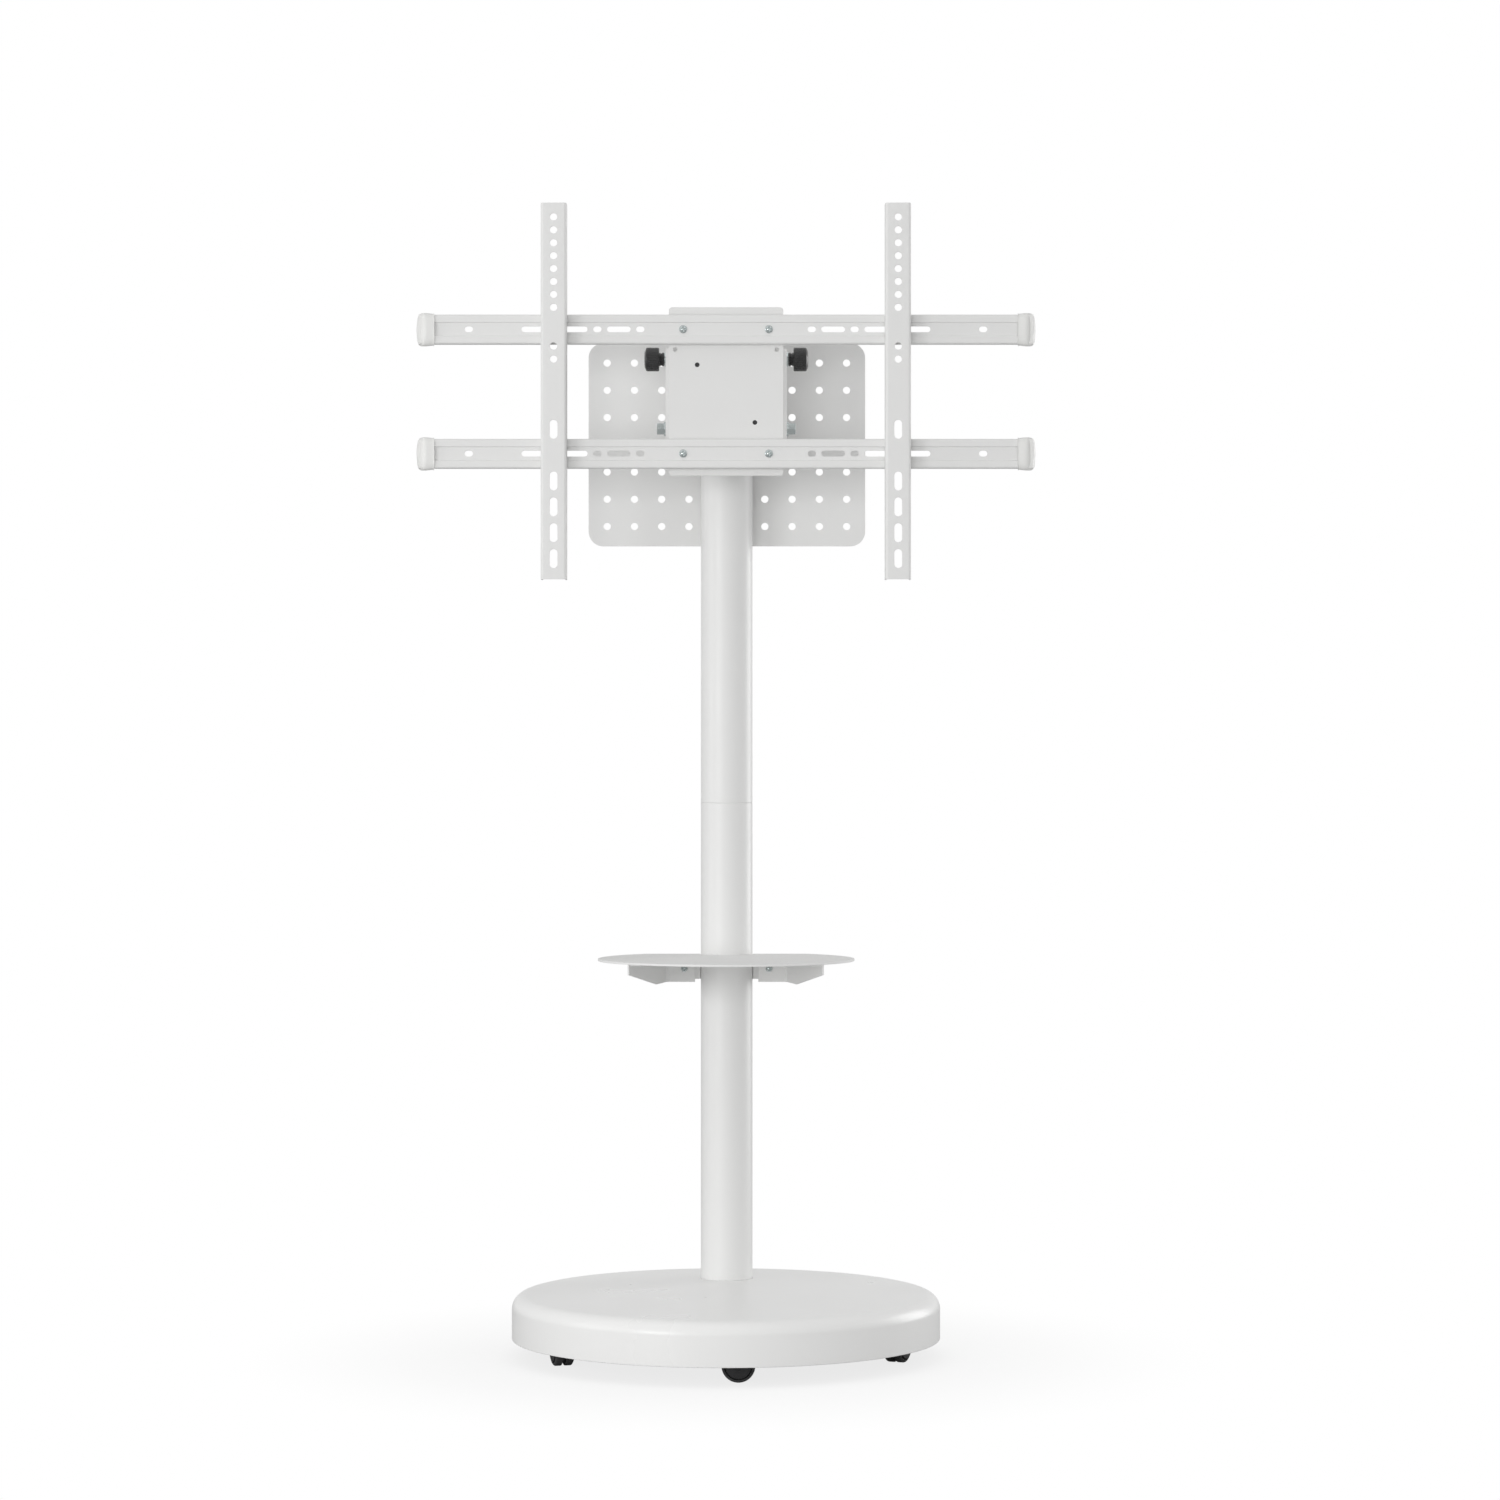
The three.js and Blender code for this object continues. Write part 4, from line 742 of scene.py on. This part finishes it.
class TVSTAND_OT_head(bpy.types.Operator):
    """Make the tilting head: the bracket, the yoke, their bolts, the knobs and the rotator."""

    bl_idname = "tv_stand.head"
    bl_label = "Tilting head"

    def execute(self, context):
        coat, zinc = white_powder_coat(), zinc_plate()
        softened("pole_bracket", coat, "stand", 0.4 * MM)
        softened("tilt_yoke", coat, "tilt_head", 0.4 * MM)
        for level in LEVELS:
            softened(f"bracket_bolt_{level}", zinc, "stand")
        ribs = context.scene.tv_stand_sizes.knob_ribs
        # Radii in millimetres, as the lengths of a knob and its washer are below
        bore, collar, neck, drum, rim = 3.3, 8, 7.2, 14, 8.75
        for name, side in SIDES.items():
            softened(f"pivot_bolt_{name}", zinc, "stand")
            softened(f"clamp_bolt_{name}", zinc, "tilt_head", 0.4 * MM)
            knob, washer = f"knob_{name}", f"knob_washer_{name}"
            axis, at = (side, 0, 0), middle(knob)
            at[0] = 0
            start, end = sorted(abs(reach(knob, 0, s)) / MM for s in (-1, 1))
            near, far = sorted(abs(reach(washer, 0, s)) / MM for s in (-1, 1))
            shoulder = end - 17.3
            profile = rounded(
                [
                    (0, start + 14, 0),
                    (bore, start + 14, 0),
                    (bore, start, 0),
                    (collar, start, 0.5),
                    (collar, start + 2.4, 0.2),
                    (neck, start + 2.9, 0.2),
                    (neck, start + 4.1, 0.2),
                    (collar, start + 4.6, 0.2),
                    (collar, shoulder, 0.3),
                    (drum, shoulder, 1),
                    *((drum, shoulder + up, 0) for up in (1.2, 2.2, 12.9, 13.9)),
                    (drum, end - 2.2, 1.6),
                    (9, end, 7),
                    (6.6, end, 0.3),
                    (6.2, end - 0.6, 0.3),
                    (0, end - 0.6, 0),
                ],
                closed=False,
                steps=6,
            )

            def grip(path, turn):
                """-0.45 mm times a ramp in from each end of the drum, times the square of
                1 - |sin(n t / 2)|, so that n grooves run along it."""
                z = path[:, 1:] / MM
                on = np.clip(z - shoulder - 1.2, 0, 1) * np.clip(end - 3.4 - z, 0, 1)
                on = on * (path[:, :1] > (drum - 1) * MM)
                return -0.45 * MM * on * (1 - abs(np.sin(ribs * turn / 2))) ** 2

            surface = [turned(profile * MM, axis, at, 8 * ribs, ribs=grip)]
            piece(f"{knob}_ribbed", surface, moulded_black(), knob, knob)
            ring = rounded([(bore, near, 0), (rim, near, 0.3), (rim, far, 0.5), (bore, far, 0.2)])
            disc = [turned(ring * MM, axis, at, 64, closed=True)]
            piece(f"{washer}_turned", disc, zinc, "tilt_head", washer)
        self.rotator()
        return {"FINISHED"}

    def rotator(self):
        """The hub with its shaft, the friction washer and the nut, on the turning axis."""
        low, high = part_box("rotator_hub")
        axis, at = REAR, (0, 0, HEAD_Z)
        shaft, disc, flange = 8 * MM, 40 * MM, low.y + 5 * MM
        profile = rounded(
            [
                (0, low.y, 0),
                (disc, low.y, 0.8 * MM),
                (disc, flange, 0.8 * MM),
                (shaft, flange, 0.6 * MM),
                (shaft, high.y, 1 * MM),
                (0, high.y, 0),
            ],
            closed=False,
        )
        hub = [turned(profile, axis, at, 96)]
        piece("rotator_hub_turned", hub, oiled_steel(), "mount_frame", "rotator_hub")
        low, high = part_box("friction_washer")
        bore, rim, soft = 8.3 * MM, 38 * MM, 0.4 * MM
        profile = rounded(
            [(bore, low.y, 0), (rim, low.y, soft), (rim, high.y, soft), (bore, high.y, 0)]
        )
        ring = [turned(profile, axis, at, 96, closed=True)]
        name = "friction_washer_moulded"
        piece(name, ring, caster_nylon(), "tilt_head", "friction_washer")
        softened("rotator_nut", zinc_plate(), "mount_frame", 0.6 * MM)


class TVSTAND_OT_mount_plate(bpy.types.Operator):
    """Make the flat plate that carries the rails, with its index holes, press nuts, and black discs
    behind the index holes as painted shade in them.
    """

    bl_idname = "tv_stand.mount_plate"
    bl_label = "Mount plate"

    def execute(self, context):
        edge = context.scene.tv_stand_sizes.edge
        low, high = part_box("mount_plate")
        sheet, rise = 2.5 * MM, (low.z + high.z) / 2
        index, corner = 33.7 * MM, np.array((59.4, 51.5)) * MM
        above = HEAD_Z - rise
        holes = []
        for side in (-1, 1):
            holes.append(circle(side * index, above - side * index, 2.75 * MM + edge, 28))
            holes.append(circle(side * corner[0], above + corner[1], 2.5 * MM + edge, 28))
        screws = [middle(f"rail_screw_{level}_{name}") for level in LEVELS for name in SIDES]
        holes += [circle(x, z - rise, 2.8 * MM + edge, 20) for x, _, z in screws]
        outline = rectangle(high.x - low.x - 2 * edge, high.z - low.z - 2 * edge, 3.6 * MM)
        place = (0, low.y + sheet / 2, rise)
        parts = [flat_plate([outline, *holes], sheet, edge, lambda p: along(p, FRONT, place))]
        nut = rounded([(2.8, 0, 0), (5.5, 0, 0), (5.5, 4, 0.5), (2.8, 4, 0.3)], steps=3) * MM
        nuts = [turned(nut, REAR, (x, low.y + sheet, z), 6, closed=True) for x, _, z in screws]
        node, body, coat = "mount_plate", "mount_frame", white_powder_coat()
        piece("mount_plate_punched", parts, coat, body, node)
        piece("mount_plate_nuts", nuts, zinc_plate(), body, node, smooth=25)
        # Black discs 0.8 mm behind the two index holes: painted shade, so that the holes look dark
        # like shaded hollows
        shade_plug = rounded([(0, 0, 0), (3.1, 0, 0), (3.1, 1.5, 0), (0, 1.5, 0)], closed=False) * MM
        seats = [(x, low.y + 0.8 * MM, HEAD_Z - x) for x in (-index, index)]
        shade_plugs = [turned(shade_plug, REAR, seat, 28) for seat in seats]
        piece("mount_plate_pins", shade_plugs, moulded_black(), body, node)
        return {"FINISHED"}


class TVSTAND_OT_rails(bpy.types.Operator):
    """Make the two rolled and slotted rails, their oval end caps and the screws that hold them."""

    bl_idname = "tv_stand.rails"
    bl_label = "Rails"

    def execute(self, context):
        sizes = context.scene.tv_stand_sizes
        radius, gauge, groove = sizes.rail_slot / 2, 1.8 * MM, 6.4 * MM
        # To each side a round hole, and slots by their place and length in millimetres
        slots = ((100, 9.6), (125, 27.5), (150, 9.6), (200, 77), (300, 9.6))
        right = [(50 * MM, 0, 2.8 * MM)]
        right += [(x * MM, length * MM / 2 - radius, radius) for x, length in slots]
        holes = [(-x, *rest) for x, *rest in right[::-1]] + right
        size = (4.7 * MM, 3 * MM, 2.5 * MM)
        for level in LEVELS:
            node = f"rail_{level}"
            low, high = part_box(node)
            half, centre = (high.z - low.z) / 2, (low.z + high.z) / 2
            floor = low.y + 1.6 * MM
            section = rounded(
                [
                    (groove, floor, 0),
                    (7.6 * MM, floor, 0.5 * MM),
                    (8.2 * MM, low.y, 0.7 * MM),
                    (half, low.y, 2.5 * MM),
                    (half, high.y, 1.9 * MM),
                    (half - 7 * MM, high.y, 0),
                ],
                closed=False,
                steps=6,
            )

            def place(across, depth, length, centre=centre):
                return np.stack([length, depth, centre - across], -1)

            skin = pierced(section, holes, low.x, high.x, groove, place)
            piece(
                f"{node}_rolled", skin, white_powder_coat(), "mount_frame", node,
                sheet=gauge, edge=sizes.edge * 0.8,
            )
            for name, side in SIDES.items():
                self.cap(f"end_cap_{level}_{name}", side, high.x, (low.y + high.y) / 2, centre)
                screw(f"rail_screw_{level}_{name}", "mount_frame", floor, size)
        return {"FINISHED"}

    def cap(self, node, side, rail_end, depth, centre):
        """A closed surface whose rows are superellipses, y = b sign(cos t) |cos t|^e and z alike
        with sin t: x leans by a row's shear times y, so that the rim and the outer face lean in
        towards the front, and the face bulges by a dome that falls with the square of the
        distance from its middle. A shallow groove follows the rim. A row is x, b, the same for z,
        e, and its shear in mm."""
        low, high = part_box(node)
        half_depth, half_height = (high.y - low.y) / 2, (high.z - low.z) / 2
        start, end, dome = rail_end - 17 * MM, rail_end + 0.2 * MM, 2.5 * MM
        oval, box = 2 / 3, 0.2
        inner, floor = (7.3 * MM, 17.45 * MM), rail_end + 0.3 * MM
        rows = [
            (floor, 0, 0, box, 0),
            (floor, *inner, box, 0),
            (start + 0.5 * MM, *inner, box, 1.2),
        ]
        for shrink in 0.9 * MM * (1 - np.sin(np.linspace(pi / 2, 0, 5))):
            rows.append((start + shrink, half_depth - shrink, half_height - shrink, oval, 1.2))
        rows.append(((start + end) / 2, half_depth, half_height, oval, 3))
        edge = 4.2 * MM
        for a in np.linspace(0, pi / 2, 8):
            shrink = edge * (1 - cos(a))
            x = end - edge + edge * sin(a)
            rows.append((x, half_depth - shrink, half_height - shrink, oval, 4.8))
        for share in (0.75, 0.5, 0.25, 0):
            x = end + dome * (1 - share**2)
            rows.append((x, (half_depth - edge) * share, (half_height - edge) * share, oval, 4.8))
        rows = np.array(rows)[:, :, None]
        angle = np.linspace(0, 2 * pi, 120, endpoint=False)[None]
        bent = [np.sign(f(angle)) * abs(f(angle)) ** rows[:, 3] for f in (np.cos, np.sin)]
        y, z = rows[:, 1] * bent[0], rows[:, 2] * bent[1]
        x = rows[:, 0] + rows[:, 4] * MM * y / half_depth
        points = np.stack([side * x, depth + y, centre + z], -1)
        shell, body = [grid(points, wrap_columns=True)], "mount_frame"
        piece(f"{node}_moulded", shell, moulded_white(), body, node, smooth=60)


class TVSTAND_OT_arms(bpy.types.Operator):
    """Make the two perforated arms, folded from one sheet each, and the bolts that hold them."""

    bl_idname = "tv_stand.arms"
    bl_label = "Arms"

    def execute(self, context):
        sizes = context.scene.tv_stand_sizes
        radius, slot = sizes.arm_hole, 4.5 * MM
        round_holes = [37, 52, *range(97, 203, 15)]
        slots = [-44.5, -104.5, -134.5, -164.5, -194.5]
        holes = [(HEAD_Z + z * MM, 0, radius) for z in round_holes]
        holes += [(HEAD_Z + z * MM, 11 * MM - slot, slot) for z in slots]
        bend = 3.6 * MM
        pitch, crest, root, head = 0.5 * MM, 3.1 * MM, 2.75 * MM, 8 * MM
        for name in SIDES:
            node = f"arm_{name}"
            low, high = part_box(node)
            half, centre = (high.x - low.x) / 2, (low.x + high.x) / 2
            corners = [(half - bend, low.y, 0), (half, low.y, bend), (half, high.y, 0)]
            section = rounded(corners, closed=False, steps=8)

            def place(across, depth, length, centre=centre):
                return np.stack([centre + across, depth, length], -1)

            skin = pierced(section, sorted(holes), low.z, high.z, half - bend, place)
            piece(
                f"{node}_folded", skin, white_powder_coat(), node, node,
                sheet=2 * MM, edge=sizes.edge,
            )
            for level in LEVELS:
                bolt = f"arm_bolt_{level}_{name}"
                at = middle(bolt)
                tail, tip = -reach(bolt, 1, 1), -reach(bolt, 1, -1)
                at[1] = 0
                turns = np.arange(tip - 12 * MM, tip - 1.2 * MM, pitch)
                thread = np.where(np.arange(len(turns)) % 2, crest, root)
                profile = np.concatenate(
                    [
                        [(0, tail), (5.5 * MM, tail), (head, tail + 2.4 * MM)],
                        [(head, tail + 4 * MM), (crest, tail + 4 * MM)],
                        np.stack([thread, turns], -1),
                        [(crest, tip - 0.9 * MM), (2.4 * MM, tip), (0, tip)],
                    ]
                )
                shank = [turned(profile, FRONT, at, 36)]
                piece(f"{bolt}_threaded", shank, zinc_plate(), node, bolt, smooth=25)
        return {"FINISHED"}


class TVSTAND_OT_stage(bpy.types.Operator):
    """Make the white floor, the soft lamps, the white surroundings and the camera."""

    bl_idname = "tv_stand.stage"
    bl_label = "Stage"

    def execute(self, context):
        scene = context.scene
        scene.view_settings.view_transform = "Standard"
        self.floor()
        self.surroundings(scene)
        # Each lamp's place, the point that it faces, its size in metres and its power in watts
        self.lamp("key", (-3.2, -4.4, 0.85), (0, 0, 0.65), 2.0, 58)
        self.lamp("front", (-0.7, -5.6, 0.8), (0, 0, 0.65), 2.2, 70)
        self.lamp("side", (-4.2, -1.2, 1.1), (0, 0, 0.7), 2.0, 22)
        self.lamp("rim", (3.2, 1.8, 1.0), (0, 0.1, 0.7), 2.0, 44)
        self.lamp("top", (-0.6, -0.8, 4.4), (0, 0, 0.6), 2.8, 4)
        camera = bpy.data.cameras.new("camera")
        camera.lens, camera.sensor_width, camera.clip_end = 102, 36, 60
        view = link("camera", camera)
        # Level and a little right of the pole, as the photographed ellipses give it
        view.location, view.rotation_euler = (0.028, -4.968, 0.7083), (pi / 2, 0, 0)
        scene.camera = view
        return {"FINISHED"}

    def lamp(self, name, at, towards, size, power):
        """A square area lamp that faces a point. The front one leaves no highlight, because the
        photographed pole has none in its middle."""
        light = bpy.data.lights.new(name, "AREA")
        light.size, light.energy = size, power
        made = link(name, light)
        made.location, made.visible_glossy = at, name != "front"
        away = made.location - type(made.location)(towards)
        made.rotation_euler = away.to_track_quat("Z", "Y").to_euler()

    def floor(self):
        """A level disc of rings, P(s, t) = (s cos t, s sin t, 0). Near the object it takes light
        and shadow, and further out it fades to the white of the surroundings."""
        s = np.concatenate([[0], np.geomspace(0.3, 30, 24)])[:, None]
        t = np.linspace(0, 2 * pi, 96, endpoint=False)[None]
        rings = np.stack([s * np.cos(t), s * np.sin(t), 0 * s * t], -1)
        points, faces = grid(rings, wrap_columns=True)
        mesh = bpy.data.meshes.new("floor")
        mesh.from_pydata(points, [], faces[:, ::-1])
        mesh.validate()
        link("floor", mesh)
        material = bpy.data.materials.new("matt white paper")
        tree = empty_tree(material)
        place = add(tree, "ShaderNodeTexCoord").outputs["Object"]
        away = add(tree, "ShaderNodeVectorMath", {0: place}, operation="LENGTH").outputs["Value"]
        span = {"Value": away, "From Min": 0.22, "From Max": 0.6, "To Min": 0.8}
        fade = add(tree, "ShaderNodeMapRange", span, interpolation_type="SMOOTHSTEP")
        camera = add(tree, "ShaderNodeLightPath").outputs["Is Camera Ray"]
        far = {0: fade.outputs["Result"], 1: camera}
        seen = add(tree, "ShaderNodeMath", far, operation="MULTIPLY")
        tones = {0: camera, 6: linear("#C8C8C8"), 7: linear("#F6F6F6")}
        tone = add(tree, "ShaderNodeMix", tones, data_type="RGBA")
        paper = add(tree, "ShaderNodeBsdfDiffuse", {"Color": tone.outputs[2]})
        white = add(tree, "ShaderNodeEmission", {"Color": linear("#FFFFFF"), "Strength": 1.0})
        both = {0: seen.outputs[0], 1: paper.outputs["BSDF"], 2: white.outputs["Emission"]}
        mixed = add(tree, "ShaderNodeMixShader", both)
        add(tree, "ShaderNodeOutputMaterial", {"Surface": mixed.outputs["Shader"]})
        mesh.materials.append(material)

    def surroundings(self, scene):
        """White where the camera sees it, a little dimmer in reflections, and dimmer still as the
        even light that falls on the object."""
        mirrored, even = 0.83, 0.57
        world = bpy.data.worlds.new("white studio")
        tree = empty_tree(world)
        path = add(tree, "ShaderNodeLightPath")
        glossy = {0: path.outputs["Is Glossy Ray"], 1: mirrored}
        strength = add(tree, "ShaderNodeMath", glossy, operation="MULTIPLY")
        for least in (path.outputs["Is Camera Ray"], even):
            either = {0: strength.outputs[0], 1: least}
            strength = add(tree, "ShaderNodeMath", either, operation="MAXIMUM")
        white = {"Color": linear("#FFFFFF"), "Strength": strength.outputs[0]}
        light = add(tree, "ShaderNodeBackground", white)
        add(tree, "ShaderNodeOutputWorld", {"Surface": light.outputs["Background"]})
        scene.world = world


class TVSTAND_PT_pieces(bpy.types.Panel):
    """The stand's pieces, sizes and colours in the 3D view's sidebar."""

    bl_idname = "TVSTAND_PT_pieces"
    bl_label = "Television stand"
    bl_space_type = "VIEW_3D"
    bl_region_type = "UI"
    bl_category = "Stand"

    def draw(self, context):
        layout = self.layout
        for operator in OPERATORS:
            layout.operator(operator.bl_idname)
        for group in (context.scene.tv_stand_sizes, context.scene.tv_stand_colours):
            box = layout.box()
            for name in group.bl_rna.properties.keys():
                if name not in ("rna_type", "name"):
                    box.prop(group, name)


OPERATORS = (
    TVSTAND_OT_stage,
    TVSTAND_OT_base,
    TVSTAND_OT_casters,
    TVSTAND_OT_pole,
    TVSTAND_OT_shelf,
    TVSTAND_OT_equipment,
    TVSTAND_OT_head,
    TVSTAND_OT_mount_plate,
    TVSTAND_OT_rails,
    TVSTAND_OT_arms,
)
CLASSES = (TVSTAND_PG_sizes, TVSTAND_PG_colours, *OPERATORS, TVSTAND_PT_pieces)


def register():
    for item in CLASSES:
        bpy.utils.register_class(item)
    scene = bpy.types.Scene
    scene.tv_stand_sizes = bpy.props.PointerProperty(type=TVSTAND_PG_sizes)
    scene.tv_stand_colours = bpy.props.PointerProperty(type=TVSTAND_PG_colours)


def unregister():
    del bpy.types.Scene.tv_stand_sizes
    del bpy.types.Scene.tv_stand_colours
    for item in reversed(CLASSES):
        bpy.utils.unregister_class(item)


def main():
    """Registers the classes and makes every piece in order."""
    register()
    for operator in OPERATORS:
        getattr(bpy.ops.tv_stand, operator.bl_idname.split(".")[1])()


if __name__ == "__main__":
    main()
